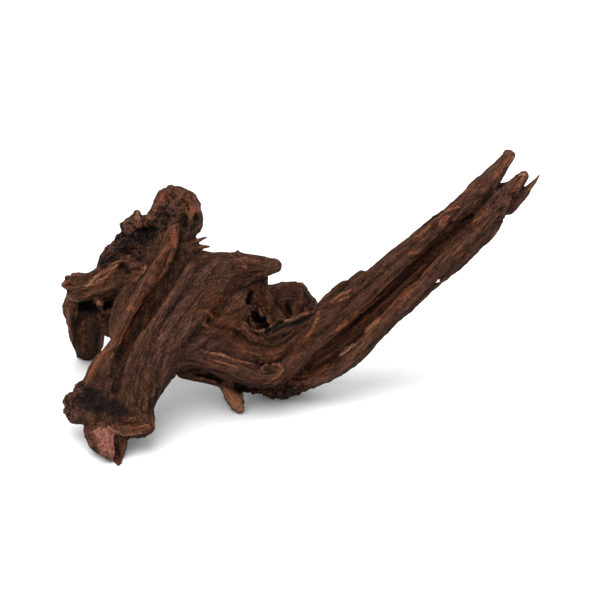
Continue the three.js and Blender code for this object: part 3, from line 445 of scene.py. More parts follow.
# Black strokes, partly burnt wood and partly painted shade: painted shade in the holes, cavities, creases
# and recesses, painted shadow under the overhangs of the shelf, the upper arm bar and the bar over the rear
# leg, and painted shade under the elbow and on the leg's shaded side
CHAR_AND_SHADE_STROKES = {
    "belly curl spot": (0.9, 1.5, (209, 318), (212, 323)),
    "neck black": (0.5, 5, (262, 276), (256, 284)),
    "neck black low": (0.45, 4, (268, 300), (274, 312)),
    "spine dark": (0.34, 6, (168, 254), (150, 290), (130, 325)),
    "shelf black": (0.9, 7, (156, 233), (140, 238), (128, 243), (116, 254)),
    "shelf overhang shadow": (1, 3, (134, 231), (146, 230), (158, 228)),
    "shelf end": (0.8, 4, (122, 222), (120, 230), (117, 238)),
    "shoulder black": (0.9, 7, (106, 258), (100, 266)),
    "bar end ring": (1, 4.5, (122, 266), (127, 270)),
    "under the streak": (0.8, 3, (104, 264), (116, 257)),
    "leg cavity": (1, 7, (80, 309), (90, 304)),
    "leg cavity foot": (0.9, 4, (78, 320), (92, 313)),
    "leg cavity right": (1, 6, (82, 313), (92, 311), (100, 307)),
    "spur black": (1, 10, (80, 395), (90, 399), (102, 402), (116, 406), (128, 411)),
    "spur black top": (0.7, 5, (84, 389), (94, 390), (106, 394)),
    "spur edge black": (0.4, 4, (70, 396), (68, 408), (70, 416)),
    "leg facet shade": (1, 4, (162, 386), (157, 400), (155, 412)),
    "right cavity": (0.9, 4.5, (258, 313), (262, 321), (267, 328)),
    "right cavity left": (0.9, 2, (249, 316), (252, 326)),
    "cavity tooth": (0.9, 1.8, (257, 305), (258, 312), (260, 320)),
    "under cavity shade": (0.6, 4, (250, 330), (262, 335), (276, 330)),
    "stub recess": (0.8, 2.2, (288, 302), (289, 309), (292, 316)),
    "stub black": (0.6, 3.4, (274, 300), (276, 306)),
    "stub olive": (0.35, 7, (300, 290), (308, 304)),
    "crease shade": (0.7, 1.3, (250, 342), (262, 343), (281, 342), (303, 328)),
    "groove crack": (0.9, 1, (312, 356), (348, 327), (384, 297), (424, 260)),
    "blue black band": (0.8, 3.2, (270, 329), (280, 326.5), (292, 324), (304, 318.5), (313, 314.5)),
    "nose hole shade": (1, 3, (252, 293), (248, 302)),
    "knob pit shade": (1, 4, (196, 214), (196, 221), (191, 231)),
    "knob shade": (0.45, 5, (182, 214), (186, 228)),
    "elbow underside shade": (0.6, 9, (236, 386), (270, 392), (300, 390)),
    "rear leg streak": (0.6, 2.6, (99, 328), (95, 340), (92, 352)),
}
TAN_STROKES = {
    "bar streak": (0.9, 1.5, (83, 288), (92, 281), (101, 274)),
    "bar streak top": (0.9, 0.9, (104, 270), (112, 263), (121, 260)),
    "hanging lump": (0.7, 3, (97, 301), (101, 307)),
    "leg left rim": (0.7, 1.2, (80, 304), (77, 313), (74, 319)),
    "shoulder patch right": (0.8, 1.2, (146, 264), (143, 274)),
    "bar branch low": (0.8, 0.8, (96, 282), (104, 277), (110, 273), (118, 264)),
    "bar ledge": (0.6, 1.6, (66, 297), (72, 301), (79, 303)),
    "shelf tooth": (0.6, 3.6, (137, 211), (138, 220)),
    "wave top bright": (0.7, 0.9, (204, 351), (214, 354), (226, 356)),
    "bright rim": (1, 0.8, (279, 319), (286, 321), (293, 320.5), (299, 318)),
    "cavity lip": (0.7, 0.9, (254, 330), (264, 331), (274, 324)),
    "upper tip edge": (0.8, 1.4, (506, 168), (513, 156)),
    "lower tip edge": (0.9, 1, (516, 176), (526, 175)),
    "bar": (0.9, 2.4, (364, 333), (372, 325), (381, 318)),
    "bar low": (0.7, 2.6, (340, 356), (348, 349), (356, 344)),
    "middle foot": (0.8, 10, (224, 384), (230, 393), (241, 412)),
    "ledge edge": (0.8, 1, (120, 430), (124, 434), (134, 433), (148, 431)),
}
FRESH_STROKES = {
    "broken face": (1, 5, (101, 426), (102.5, 434), (105, 444), (109, 457)),
    "broken face right": (1, 5.2, (110, 425), (111, 434), (111.5, 444), (113, 460)),
    "broken face top": (1, 4.2, (95, 430), (106, 430.5), (119, 431)),
}
WARM_STROKES = {
    "belly": (0.9, 16, (212, 292), (222, 318), (246, 340), (262, 350)),
    "fold": (0.8, 9, (262, 356), (292, 348), (316, 326)),
    "neck": (1, 12, (252, 286), (264, 300), (272, 320)),
    "groove": (1, 8, (310, 362), (350, 328), (400, 284), (440, 246), (480, 206)),
    "leg": (0.9, 16, (88, 300), (86, 330), (84, 356)),
    "toe": (0.2, 10, (110, 420), (136, 424), (156, 424)),
    "toe foot": (0.3, 9, (94, 430), (112, 446), (122, 462)),
    "spine": (0.8, 6, (176, 230), (166, 256), (150, 290), (126, 330), (104, 362)),
    "knob": (0.7, 10, (158, 200), (178, 192), (196, 214)),
    "foot": (0.3, 8, (226, 386), (240, 408)),
    "elbow": (0.7, 9, (284, 384), (312, 372), (336, 352)),
}
PALE_STROKES = {
    "knob": (1, 14, (164, 206), (172, 196), (184, 198)),
    "knob right": (0.6, 7, (194, 206), (198, 226)),
    "bar": (0.5, 9, (70, 284), (92, 286), (112, 276)),
    "bar foot": (0.5, 7, (84, 296), (104, 290), (118, 282)),
    "wave": (0.8, 7, (186, 356), (214, 362), (240, 372)),
    "belly curl": (0.9, 8, (200, 314), (212, 322)),
}
PAINTS = {
    "rust": RUST_STROKES,
    "char_and_shade": CHAR_AND_SHADE_STROKES,
    "tan": TAN_STROKES,
    "fresh": FRESH_STROKES,
    "warm": WARM_STROKES,
    "pale": PALE_STROKES,
}


def smooth_line(points, step=STRAND_STEP):
    """A Catmull-Rom line through the points, cut into bits about a step long."""
    points = np.array(points, float)
    before, after = 2 * points[0] - points[1], 2 * points[-1] - points[-2]
    points = np.vstack([before, points, after])
    line = []
    for a, b, c, d in zip(points, points[1:], points[2:], points[3:]):
        bits = max(1, round(np.linalg.norm((c - b)[:3]) / step))
        for t in np.arange(bits) / bits:
            bend = 2 * a - 5 * b + 4 * c - d
            twist = 3 * b - a - 3 * c + d
            line.append(b + 0.5 * t * (c - a + t * (bend + t * twist)))
    line.append(points[-2])
    return np.array(line)


def cells_around(axes, low, high):
    """The slices of the grid that hold a box."""
    return tuple(slice(*np.searchsorted(axis, ends)) for axis, ends in zip(axes, zip(low, high)))


def strand_distance(axes, line, share, margin):
    """The slices of the grid round a strand, and the distance to the strand in them."""
    squash = np.array((1, 1, share))
    reach = (line[:, 3:4] + margin) * squash
    box = cells_around(axes, (line[:, :3] - reach).min(0), (line[:, :3] + reach).max(0))
    inner = [axis[cells].astype(np.float32) for axis, cells in zip(axes, box)]
    distance = np.full([len(axis) for axis in inner], FAR, np.float32)
    for start, end in zip(line[:-1], line[1:]):
        reach = (max(start[3], end[3]) + margin) * squash
        near = cells_around(inner, np.minimum(start, end)[:3] - reach, np.maximum(start, end)[:3] + reach)
        u, v, w = (axis[cells] for axis, cells in zip(inner, near))
        along = (end - start)[:3] / squash
        away = (
            (u - start[0])[:, None, None],
            (v - start[1])[None, :, None],
            ((w - start[2]) / share)[None, None, :],
        )
        t = sum(x * y for x, y in zip(away, along)) / (along @ along)
        t = np.clip(t, 0, 1).astype(np.float32)
        gap = np.sqrt(sum((x - t * y) ** 2 for x, y in zip(away, along)))
        gap -= start[3] + t * (end[3] - start[3])
        distance[near] = np.minimum(distance[near], gap)
    return box, distance


def smooth_min(a, b, blend):
    """The smaller of two distances, rounded off over the blend where they are alike."""
    near = np.clip(blend - np.abs(a - b), 0, None) / blend
    return np.minimum(a, b) - near * near * blend * 0.25


def make_field():
    """The grid's axes, and the field on it, which is below zero inside the wood."""
    axes = [np.arange(low, high, CELL) for low, high in zip(GRID_LOW, GRID_HIGH)]
    field = np.full([len(axis) for axis in axes], FAR, np.float32)
    for sign, strands in ((1, STRANDS), (-1, CUTS)):
        for share, blend, *points in strands.values():
            box, distance = strand_distance(axes, smooth_line(points), share, max(blend, LEAST_MARGIN))
            field[box] = sign * smooth_min(sign * field[box], distance, blend)
    return axes, field


CORNERS = list(itertools.product((0, 1), repeat=3))
PAIRS = itertools.combinations(range(8), 2)
EDGES = [(a, b) for a, b in PAIRS if np.abs(np.subtract(CORNERS[a], CORNERS[b])).sum() == 1]


def net_points(field, mixed):
    """One point in each grid cube that the surface crosses: the middle of its crossings."""
    cells = np.argwhere(mixed)
    values = np.stack([field[tuple((cells + corner).T)] for corner in CORNERS], axis=1)
    total = np.zeros((len(cells), 3))
    crossings = np.zeros(len(cells))
    for a, b in EDGES:
        crossed = (values[:, a] < 0) != (values[:, b] < 0)
        step = np.where(crossed, values[:, a] - values[:, b], 1)
        t = (values[:, a] / step)[:, None]
        place = np.array(CORNERS[a]) + t * np.subtract(CORNERS[b], CORNERS[a])
        total += np.where(crossed[:, None], place, 0)
        crossings += crossed
    return GRID_LOW + CELL * (cells + total / crossings[:, None])


def net_faces(inside, number):
    """A four-sided face across each grid edge that the surface crosses, wound to look out of the wood."""
    faces = []
    for axis in range(3):
        low = np.take(inside, range(inside.shape[axis] - 1), axis)
        high = np.take(inside, range(1, inside.shape[axis]), axis)
        at = np.argwhere(low != high)
        side, other = np.eye(3, dtype=int)[[(axis + 1) % 3, (axis + 2) % 3]]
        around = (at - side - other, at - other, at, at - side)
        quads = np.stack([number[tuple(cell.T)] for cell in around], axis=1)
        outward = low[tuple(at.T)]
        faces.append(np.where(outward[:, None], quads, quads[:, ::-1]))
    return np.vstack(faces)


def make_surface(field):
    """Points on the sheet and four-sided faces where the field is zero."""
    inside = field < 0
    count = np.zeros([n - 1 for n in field.shape], np.int8)
    for i, j, k in CORNERS:
        count += inside[i : i + count.shape[0], j : j + count.shape[1], k : k + count.shape[2]]
    mixed = (count > 0) & (count < 8)
    number = np.full(field.shape, -1, np.int32)
    number[:-1, :-1, :-1][mixed] = np.arange(mixed.sum())
    return net_points(field, mixed), net_faces(inside, number)


def thinned_mesh(points, faces):
    """The surface as a Blender mesh with fewer triangles where it is flat."""
    mesh = bpy.data.meshes.new("fine")
    mesh.from_pydata(points.tolist(), [], faces.tolist())
    piece = bpy.data.objects.new("fine", mesh)
    bpy.context.scene.collection.objects.link(piece)
    thin = piece.modifiers.new("thin", "DECIMATE")
    thin.ratio = min(1, TRIANGLES / (2 * len(faces)))
    shown = piece.evaluated_get(bpy.context.evaluated_depsgraph_get())
    thinned = bpy.data.meshes.new_from_object(shown)
    bpy.data.objects.remove(piece)
    bpy.data.meshes.remove(mesh)
    return thinned


def read_vectors(items, name):
    values = np.empty(len(items) * 3, np.float32)
    items.foreach_get(name, values)
    return values.reshape(-1, 3).astype(float)


def hashed(cell, seed):
    """A number from -1 to 1 for each lattice cell, the same on each run."""
    mixed = cell[:, 0] * 374761393 + cell[:, 1] * 668265263 + cell[:, 2] * 1274126177 + seed * 974634777
    mixed = (mixed ^ (mixed >> 13)) * 1103515245 & 0xFFFFFFFF
    return ((mixed ^ (mixed >> 16)) & 0xFFFF) / 32767.5 - 1


def noise(places, size, seed):
    """Smooth noise from -1 to 1 with lumps of the given size, one size or one for each axis."""
    places = places / np.array(size, float)
    cell = np.floor(places).astype(np.int64)
    part = places - cell
    part = part * part * (3 - 2 * part)
    total = np.zeros(len(places))
    for corner in CORNERS:
        share = np.prod(np.where(corner, part, 1 - part), axis=1)
        total += share * hashed(cell + corner, seed)
    return total


def noises(places, rows):
    """Noises added up, each given as size, seed and height."""
    return sum(height * noise(places, size, seed) for size, seed, height in rows)


def smooth_step(low, high, x):
    t = np.clip((x - low) / (high - low), 0, 1)
    return t * t * (3 - 2 * t)


def side_vectors(line, squash):
    """For each bit of a line: its direction, two directions across it that don't twist, and its length."""
    steps = np.diff(line[:, :3], axis=0) / squash
    lengths = np.linalg.norm(steps, axis=1)
    along = steps / lengths[:, None]
    across = []
    last = np.array(FIRST_SIDE)
    for direction in along:
        last = last - (last @ direction) * direction
        last = last / np.linalg.norm(last)
        across.append(last)
    across = np.array(across)
    return along, across, np.cross(along, across), lengths


def follow_strand(points, line, share):
    """For points near a strand: their distance, place along and across it, and its half width there."""
    squash = np.array((1, 1, share))
    along, across, up, lengths = side_vectors(line, squash)
    away = (points[:, None, :] - line[None, :-1, :3]) / squash
    t = np.clip(np.einsum("pbi,bi->pb", away, along) / lengths, 0, 1)
    offset = away - (t * lengths)[:, :, None] * along
    half = line[:-1, 3] + t * np.diff(line[:, 3])
    distance = np.linalg.norm(offset, axis=2) - half
    best = distance.argmin(axis=1)
    rows = np.arange(len(points))
    offset = offset[rows, best]
    run = np.concatenate([[0], np.cumsum(lengths)])[best] + t[rows, best] * lengths[best]
    place = np.stack([run, (offset * across[best]).sum(1), (offset * up[best]).sum(1)], axis=1)
    return distance[rows, best], place, half[rows, best]


def follow_strands(points):
    """For every point: its place in its nearest strand, that strand's half width, and the grain."""
    nearest = np.full(len(points), FAR)
    fibre = np.zeros((len(points), 3))
    half = np.full(len(points), PLAIN_HALF)
    grain = np.zeros(len(points))
    weight = np.full(len(points), SMALL)
    for number, (share, _, *control) in enumerate(STRANDS.values()):
        line = smooth_line(control)
        reach = (line[:, 3:4] + GRAIN_REACH) * (1, 1, share)
        low, high = (line[:, :3] - reach).min(0), (line[:, :3] + reach).max(0)
        near = np.flatnonzero(((points > low) & (points < high)).all(1))
        distance, place, width = follow_strand(points[near], line, share)
        place = place + number * STRAND_APART
        pull = np.exp(-((np.maximum(distance, 0) / GRAIN_REACH * GRAIN_FADE) ** 2))
        grain[near] += pull * strand_grain(place)
        weight[near] += pull
        closer = distance < nearest[near]
        won = near[closer]
        nearest[won] = distance[closer]
        fibre[won] = place[closer]
        half[won] = width[closer]
    return fibre, half, grain / weight


def strand_grain(place):
    """The grain's height in millimetres: folds and ridges, flakes with a sharp edge, and cracks."""
    flakes = smooth_step(*FLAKE_RANGE, noise(place, *FLAKES))
    crack = np.exp(-((noise(place, *CRACKS) / CRACK_WIDTH) ** 2))
    crack *= smooth_step(*CRACKED_RANGE, noise(place, *CRACKED_PLACES))
    return noises(place, GRAIN_NOISES) + FLAKE_HEIGHT * flakes - CRACK_DEPTH * crack - GRAIN_MIDDLE


def gnarl_of(points):
    """How knotted the wood is, from 0 on the straight arms to 1 at the knob and the burnt edges."""
    gnarl = np.zeros(len(points))
    for u, v, w, radius in GNARLS:
        distance = np.linalg.norm(points - (u, v, w), axis=1)
        gnarl = np.maximum(gnarl, 1 - smooth_step(0.5, 1, distance / radius))
    return gnarl


def lumps_of(points, gnarl):
    """Bumps and pits that don't follow the grain, in millimetres."""
    broad = noises(points, BROAD_LUMPS) * (BROAD_SHARE + BROAD_SHARE * gnarl)
    pits = smooth_step(*PIT_RANGE, noise(points, *PITS)) * PIT_DEPTH
    return broad + gnarl * (noises(points, KNOTS) - pits) + noises(points, FINE_LUMPS)


def stroke_share(points, on_front, line, half_width):
    """From 0 to 1, how much each front point belongs to a stroke with narrow ends drawn on the sheet."""
    line = smooth_line([(u, v, 0, 0) for u, v in line], STROKE_STEP)[:, :2]
    share = np.zeros(len(points))
    reach = STROKE_REACH * half_width
    near = on_front & ((points[:, :2] > line.min(0) - reach) & (points[:, :2] < line.max(0) + reach)).all(1)
    chosen = points[near, :2]
    best = np.full(len(chosen), FAR)
    run = np.zeros(len(chosen))
    length = 0
    for start, end in zip(line[:-1], line[1:]):
        along = end - start
        t = np.clip((chosen - start) @ along / (along @ along), 0, 1)
        gap = np.linalg.norm(chosen - start - t[:, None] * along, axis=1)
        run = np.where(gap < best, length + t * np.linalg.norm(along), run)
        best = np.minimum(best, gap)
        length += np.linalg.norm(along)
    from_end = np.minimum(run, length - run)
    taper = np.clip(STROKE_END + from_end / (STROKE_TAPER * length), STROKE_END, 1)
    share[near] = np.exp(-((best / (half_width * taper)) ** 2))
    return share


def front_mask(points, normals, axes, field):
    """Which points look at the eye with nothing in front of them."""
    inside = field < 0
    last = inside.shape[2] - 1 - inside[:, :, ::-1].argmax(axis=2)
    front = np.where(inside.any(axis=2), axes[2][last], -FAR)
    place = ((points[:, :2] - GRID_LOW[:2]) / CELL).round().astype(int)
    depth = front[tuple(np.clip(place, 0, np.array(front.shape) - 1).T)]
    return (normals[:, 2] > LEAST_FACING) & (points[:, 2] > depth - FRONT_DEPTH)


def mesh_edges(mesh):
    """The point numbers of the edges' two ends."""
    edges = np.empty(len(mesh.edges) * 2, np.int32)
    mesh.edges.foreach_get("vertices", edges)
    return edges.reshape(-1, 2).T


def mean_at_points(edges, at_a, at_b, count):
    """For each point the mean of its edges' values, given for the edges' first and second ends."""
    a, b = edges
    total = np.bincount(a, at_a, count) + np.bincount(b, at_b, count)
    return total / np.maximum(np.bincount(a, minlength=count) + np.bincount(b, minlength=count), 1)


def evened_out(values, edges, rounds):
    """The points' values after some rounds in which each moves halfway to its neighbours' mean."""
    a, b = edges
    for _ in range(rounds):
        values = 0.5 * (values + mean_at_points(edges, values[b], values[a], len(values)))
    return values


def bend_at_points(edges, points, normals):
    """How the surface bends at each point, positive on crests."""
    a, b = edges
    step = points[b] - points[a]
    bend = ((normals[b] - normals[a]) * step).sum(1) / np.maximum((step ** 2).sum(1), SMALL)
    return mean_at_points(edges, bend, bend, len(points))


def to_ground(points):
    """From the sheet to the ground frame, in metres."""
    u, v, w = points.T
    up = SHEET_GROUND - v
    y = up * math.sin(SHEET_LEAN) - w * math.cos(SHEET_LEAN) - DEPTH_CENTRE
    z = up * math.cos(SHEET_LEAN) + w * math.sin(SHEET_LEAN)
    return np.stack([u - SHEET_CENTRE, y, z], axis=1) * MM


def add_values(mesh, name, values):
    kind = "FLOAT" if values.ndim == 1 else "FLOAT_VECTOR"
    key = "value" if values.ndim == 1 else "vector"
    attribute = mesh.attributes.new(name, kind, "POINT")
    attribute.data.foreach_set(key, values.astype(np.float32).ravel())


def paint_of(points, on_front, strokes):
    """How strongly the strokes of one kind of paint cover each point."""
    paint = np.zeros(len(points))
    for strength, half_width, *line in strokes.values():
        paint = np.maximum(paint, strength * stroke_share(points, on_front, line, half_width))
    return paint


def relief_of(points, on_front, gnarl):
    """How far each point moves out along its normal, in millimetres, and its place in the grain."""
    fibre, half, grain = follow_strands(points)
    relief = grain * (1 - KNOTTED_GRAIN_LOSS * gnarl) + lumps_of(points, gnarl)
    relief *= np.clip(half / FULL_RELIEF_HALF, LEAST_RELIEF, 1)
    for height, half_width, *line in RELIEF_STROKES.values():
        relief += height * stroke_share(points, on_front, line, half_width)
    return relief, fibre


def move_points(mesh, points):
    """Sets the mesh to the moved points, given on the sheet, and turns it the right way out."""
    ground = to_ground(points)
    ground[:, 2] = np.maximum(ground[:, 2], LOWEST)
    mesh.vertices.foreach_set("co", ground.astype(np.float32).ravel())
    mesh.flip_normals()
    mesh.update()
    return ground


def add_bends(mesh, ground):
    """Adds how the surface bends, near by and broadly, and how much it faces the ground: the material
    paints shade and highlight from these.
    """
    normals = read_vectors(mesh.vertices, "normal")
    edges = mesh_edges(mesh)
    bend = bend_at_points(edges, ground / MM, normals)
    add_values(mesh, "bend", evened_out(bend, edges, BEND_ROUNDS))
    add_values(mesh, "broad_bend", evened_out(bend, edges, BROAD_BEND_ROUNDS))
    add_values(mesh, "under", smooth_step(*UNDER_RANGE, evened_out(normals[:, 2], edges, UNDER_ROUNDS)))


def make_root():
    """The root's mesh, in the ground frame, with the values that its material reads."""
    axes, field = make_field()
    mesh = thinned_mesh(*make_surface(field))
    points = read_vectors(mesh.vertices, "co")
    normals = read_vectors(mesh.vertices, "normal")
    on_front = front_mask(points, normals, axes, field)
    gnarl = gnarl_of(points)
    relief, fibre = relief_of(points, on_front, gnarl)
    for name, strokes in PAINTS.items():
        add_values(mesh, name, paint_of(points, on_front, strokes))
    add_values(mesh, "fibre", fibre)
    add_values(mesh, "gnarl", gnarl)
    add_bends(mesh, move_points(mesh, points + normals * relief[:, None]))
    mesh.polygons.foreach_set("use_smooth", np.ones(len(mesh.polygons), bool))
    return mesh


class Nodes:
    """A material's node tree, with short calls for the kinds of node used here."""

    def __init__(self, material):
        self.tree = material.node_tree
        self.shader = self.tree.nodes["Principled BSDF"]

    def add(self, kind, **settings):
        node = self.tree.nodes.new(kind)
        for name, value in settings.items():
            setattr(node, name, value)
        return node

    def fill(self, node, inputs):
        """Links or sets a node's inputs, given by name or number."""
        for key, value in inputs.items():
            if isinstance(value, bpy.types.NodeSocket):
                self.tree.links.new(value, node.inputs[key])
            else:
                node.inputs[key].default_value = value

    def attribute(self, name, output="Fac"):
        return self.add("ShaderNodeAttribute", attribute_name=name).outputs[output]

    def math(self, operation, a, b=0.0):
        node = self.add("ShaderNodeMath", operation=operation)
        self.fill(node, {0: a, 1: b})
        return node.outputs[0]

    def between(self, value, low, high, to_low=0.0, to_high=1.0):
        """A value spread from low..high to to_low..to_high, smoothly and no further."""
        node = self.add("ShaderNodeMapRange", interpolation_type="SMOOTHSTEP")
        ends = {"From Min": low, "From Max": high, "To Min": to_low, "To Max": to_high}
        self.fill(node, {"Value": value, **ends})
        return node.outputs["Result"]

    def stretched(self, vector, scale):
        node = self.add("ShaderNodeMapping", vector_type="POINT")
        self.fill(node, {"Vector": vector, "Scale": scale})
        return node.outputs["Vector"]

    def noise(self, vector, scale, detail, roughness):
        node = self.add("ShaderNodeTexNoise", noise_dimensions="3D")
        self.fill(node, {"Vector": vector, "Scale": scale, "Detail": detail, "Roughness": roughness})
        return node.outputs["Fac"]

    def ramp(self, value, stops):
        node = self.add("ShaderNodeValToRGB")
        self.fill(node, {"Fac": value})
        ramp = node.color_ramp
        while len(ramp.elements) < len(stops):
            ramp.elements.new(0.5)
        for element, (position, colour) in zip(ramp.elements, stops):
            element.position = position
            element.color = (*colour, 1)
        return node.outputs["Color"]

    def mixed(self, share, a, b, blend_type="MIX"):
        node = self.add("ShaderNodeMix", data_type="RGBA", blend_type=blend_type)
        a, b = (side if isinstance(side, bpy.types.NodeSocket) else (*side, 1) for side in (a, b))
        self.fill(node, {0: share, 6: a, 7: b})
        return node.outputs[2]


# Wood colours, as linear red, green and blue
DEEP = (0.010, 0.0048, 0.0028)
DARK = (0.032, 0.0130, 0.0066)
BROWN = (0.070, 0.0268, 0.0138)
PALE = (0.125, 0.0560, 0.0310)
COOL_TINT = (1.02, 1.07, 1.36)
WARM_TINT = (1.22, 0.98, 0.74)
# Painted shade for the surfaces that face the ground
UNDERSIDE_SHADE = (0.010, 0.0050, 0.0030)
RUST_DEEP = (0.085, 0.026, 0.013)
RUST = (0.27, 0.096, 0.048)
TAN = (0.38, 0.182, 0.105)
FRESH_DEEP = (0.075, 0.026, 0.018)
FRESH_MIDDLE = (0.22, 0.081, 0.059)
FRESH = (0.35, 0.142, 0.104)
# Black of burnt wood, also the colour of the painted shade in hollows, holes, creases and under overhangs
CHAR = (0.0040, 0.0030, 0.0025)
# The paler black, partly texture and partly a painted highlight on crests
CHAR_PALE = (0.034, 0.0220, 0.0165)
BARK_STOPS = ((0.20, DEEP), (0.40, DARK), (0.57, BROWN), (0.86, PALE))
FRESH_STOPS = ((0.34, FRESH_DEEP), (0.47, FRESH_MIDDLE), (0.60, FRESH))

# Noises that lie along the fibres: how they are stretched, detail and roughness
FIBRE_NOISES = {
    "streaks": ((0.045, 0.7, 0.7), 5.0, 0.72),
    "hairs": ((0.10, 1.1, 1.1), 3.0, 0.7),
    "veins": ((0.03, 0.36, 0.36), 3.0, 0.6),
}
# Noises that don't follow the fibres: fineness, detail and roughness
SOLID_NOISES = {
    "specks": (750.0, 3.0, 0.8),
    "patches": (38.0, 5.0, 0.65),
    "crumbs": (330.0, 4.0, 0.75),
}
COOL_PLACES = (17.0, 3.0, 0.6)
WORN_PLACES = (85.0, 5.0, 0.75)
BURNT_PLACES = (34.0, 4.0, 0.7)
FRESH_LINES = ((560, 560, 14), 3.0, 0.65)

# How much each value counts in a sum
# In the tone, bend and broad_bend give painted shade in the hollows and painted highlight on the crests
TONE = {
    "streaks": 0.9, "specks": 1.3, "patches": 0.65, "hairs": 1.15, "crumbs": 1.4, "bend": 0.6,
    "broad_bend": 1.4,
}
CONTRAST = {"gnarl": 0.4}
PALE_LIFT = {"pale": 0.13}
CRUMBLED = {"gnarl": 1.8}
HOLLOW_SHADE_BY_GNARL = {"gnarl": 0.5}
CREST = {"broad_bend": 2.2, "bend": 0.6}
RUST_TONE = {"streaks": 0.9, "specks": 1.2}
# Bend makes the black paler on the crests: a painted highlight
COAL_TONE = {"specks": 1.5, "crumbs": 1.2, "bend": 0.9}
HEIGHT = {"streaks": 0.7, "specks": 0.5, "crumbs": 0.7, "cracks": -0.35, "hairs": 0.6}
PAINT_EDGE = {"streaks": 2.4, "specks": 1.8}
FRESH_EDGE = {"streaks": 0.2, "specks": 0.4}
CHAR_AND_SHADE_EDGE = {"patches": 2.2, "streaks": 1.8, "specks": 1.4}

# Ranges of values over which an effect comes in
CRACK_RANGE = (0.020, 0.005)
PAINT_THERE = (0.03, 0.25)
PAINT_RANGE = (0.40, 0.66)
FRESH_RANGE = (0.38, 0.50)
CHAR_AND_SHADE_RANGE = (0.30, 0.72)
COOL_RANGE = (0.42, 0.6)
WORN_RANGE = (0.51, 0.60)
CREST_RANGE = (0.63, 0.88)
BURNT_RANGE = (0.50, 0.62)
HOLLOW_SHADE_RANGE = (-0.07, -0.24)
RUST_TONE_RANGE = (0.3, 0.7)
COAL_RANGE = (0.3, 0.9)
TONE_RANGE = (0.2, 0.8)
ROUGHNESS_RANGE = (0.9, 0.7)

# Strengths of the wood's effects, from 0 to 1
PLAIN_CONTRAST = 0.82
PLAIN_HOLLOW_SHADE = 0.25
CRACK_SHADE = 0.75
WORN_RUST = 0.8
BURNT_BLACK = 0.42
PAINTED_BLACK = 0.93
UNDER_SHADE = 0.7
SHINE = 0.08
BUMP_STRENGTH = 0.9
BUMP_HEIGHT = 0.003


class WoodNodes(Nodes):
    """The wood's node tree, with the values that its colours share: centred noises, and attributes."""

    def __init__(self, material):
        super().__init__(material)
        self.place = self.add("ShaderNodeTexCoord").outputs["Object"]
        fibre = self.attribute("fibre", "Vector")
        names = ("gnarl", "bend", "broad_bend", "under", *PAINTS)
        self.values = {name: self.attribute(name) for name in names}
        for name, (stretch, *fineness) in FIBRE_NOISES.items():
            self.values[name] = self.centred(self.noise(self.stretched(fibre, stretch), 1.0, *fineness))
        for name, noise in SOLID_NOISES.items():
            self.values[name] = self.centred(self.noise(self.place, *noise))
        crumbled = self.sum_of(0.5, CRUMBLED)
        self.values["crumbs"] = self.math("MULTIPLY", self.values["crumbs"], crumbled)
        self.values["cracks"] = self.between(self.math("ABSOLUTE", self.values["veins"]), *CRACK_RANGE)

    def centred(self, noise):
        return self.math("SUBTRACT", noise, 0.5)

    def sum_of(self, start, weights):
        """A start value with shared values added, each times its weight."""
        total = start
        for name, weight in weights.items():
            total = self.math("ADD", total, self.math("MULTIPLY", self.values[name], weight))
        return total

    def ragged(self, paint, ends, weights):
        """Where a paint lies, with its edge broken up by the noises."""
        share = self.values[paint]
        broken = self.between(self.sum_of(share, weights), *ends)
        return self.math("MULTIPLY", broken, self.between(share, *PAINT_THERE))


def bark_colour(n):
    """Brown wood, darker in the cracks, with painted shade in the hollows and painted highlight on the
    crests, cooler in some places than in others.
    """
    tone = n.math("SUBTRACT", n.sum_of(0.5, TONE), 0.5)
    tone = n.math("MULTIPLY", tone, n.sum_of(PLAIN_CONTRAST, CONTRAST))
    tone = n.sum_of(n.math("ADD", 0.5, tone), PALE_LIFT)
    bark = n.ramp(tone, BARK_STOPS)
    bark = n.mixed(n.math("MULTIPLY", n.values["cracks"], CRACK_SHADE), bark, DEEP)
    cool = n.between(n.noise(n.place, *COOL_PLACES), *COOL_RANGE)
    return n.mixed(cool, bark, COOL_TINT, "MULTIPLY"), tone


def rust_share(n):
    """Where the bark is worn down to rust: on some crests, and on the painted places."""
    worn = n.between(n.noise(n.place, *WORN_PLACES), *WORN_RANGE)
    worn = n.math("MULTIPLY", n.between(n.sum_of(0.5, CREST), *CREST_RANGE), worn)
    painted = n.ragged("rust", PAINT_RANGE, PAINT_EDGE)
    return n.math("MAXIMUM", n.math("MULTIPLY", worn, WORN_RUST), painted)


def burnt_and_shade_black_share(n):
    """Where the wood is black: knotted parts burnt in patches, painted shade in the deepest hollows, and
    the painted strokes, which are partly burnt wood and partly painted shade.
    """
    burnt = n.between(n.noise(n.place, *BURNT_PLACES), *BURNT_RANGE)
    burnt = n.math("MULTIPLY", n.math("MULTIPLY", burnt, BURNT_BLACK), n.values["gnarl"])
    # Painted shade: the wood turns black in the hollows, more so where it is knotted
    depth = n.between(n.values["broad_bend"], *HOLLOW_SHADE_RANGE)
    hollow = n.math("MULTIPLY", depth, n.sum_of(PLAIN_HOLLOW_SHADE, HOLLOW_SHADE_BY_GNARL))
    # Painted black strokes: burnt wood in some places, painted shade and painted shadow in others
    painted = n.math("MULTIPLY", n.ragged("char_and_shade", CHAR_AND_SHADE_RANGE, CHAR_AND_SHADE_EDGE), PAINTED_BLACK)
    return n.math("MAXIMUM", n.math("MAXIMUM", burnt, hollow), painted)


def fresh_colour(n):
    """Pale pink broken wood with fine upright lines."""
    stretch, *fineness = FRESH_LINES
    return n.ramp(n.noise(n.stretched(n.place, stretch), 1.0, *fineness), FRESH_STOPS)


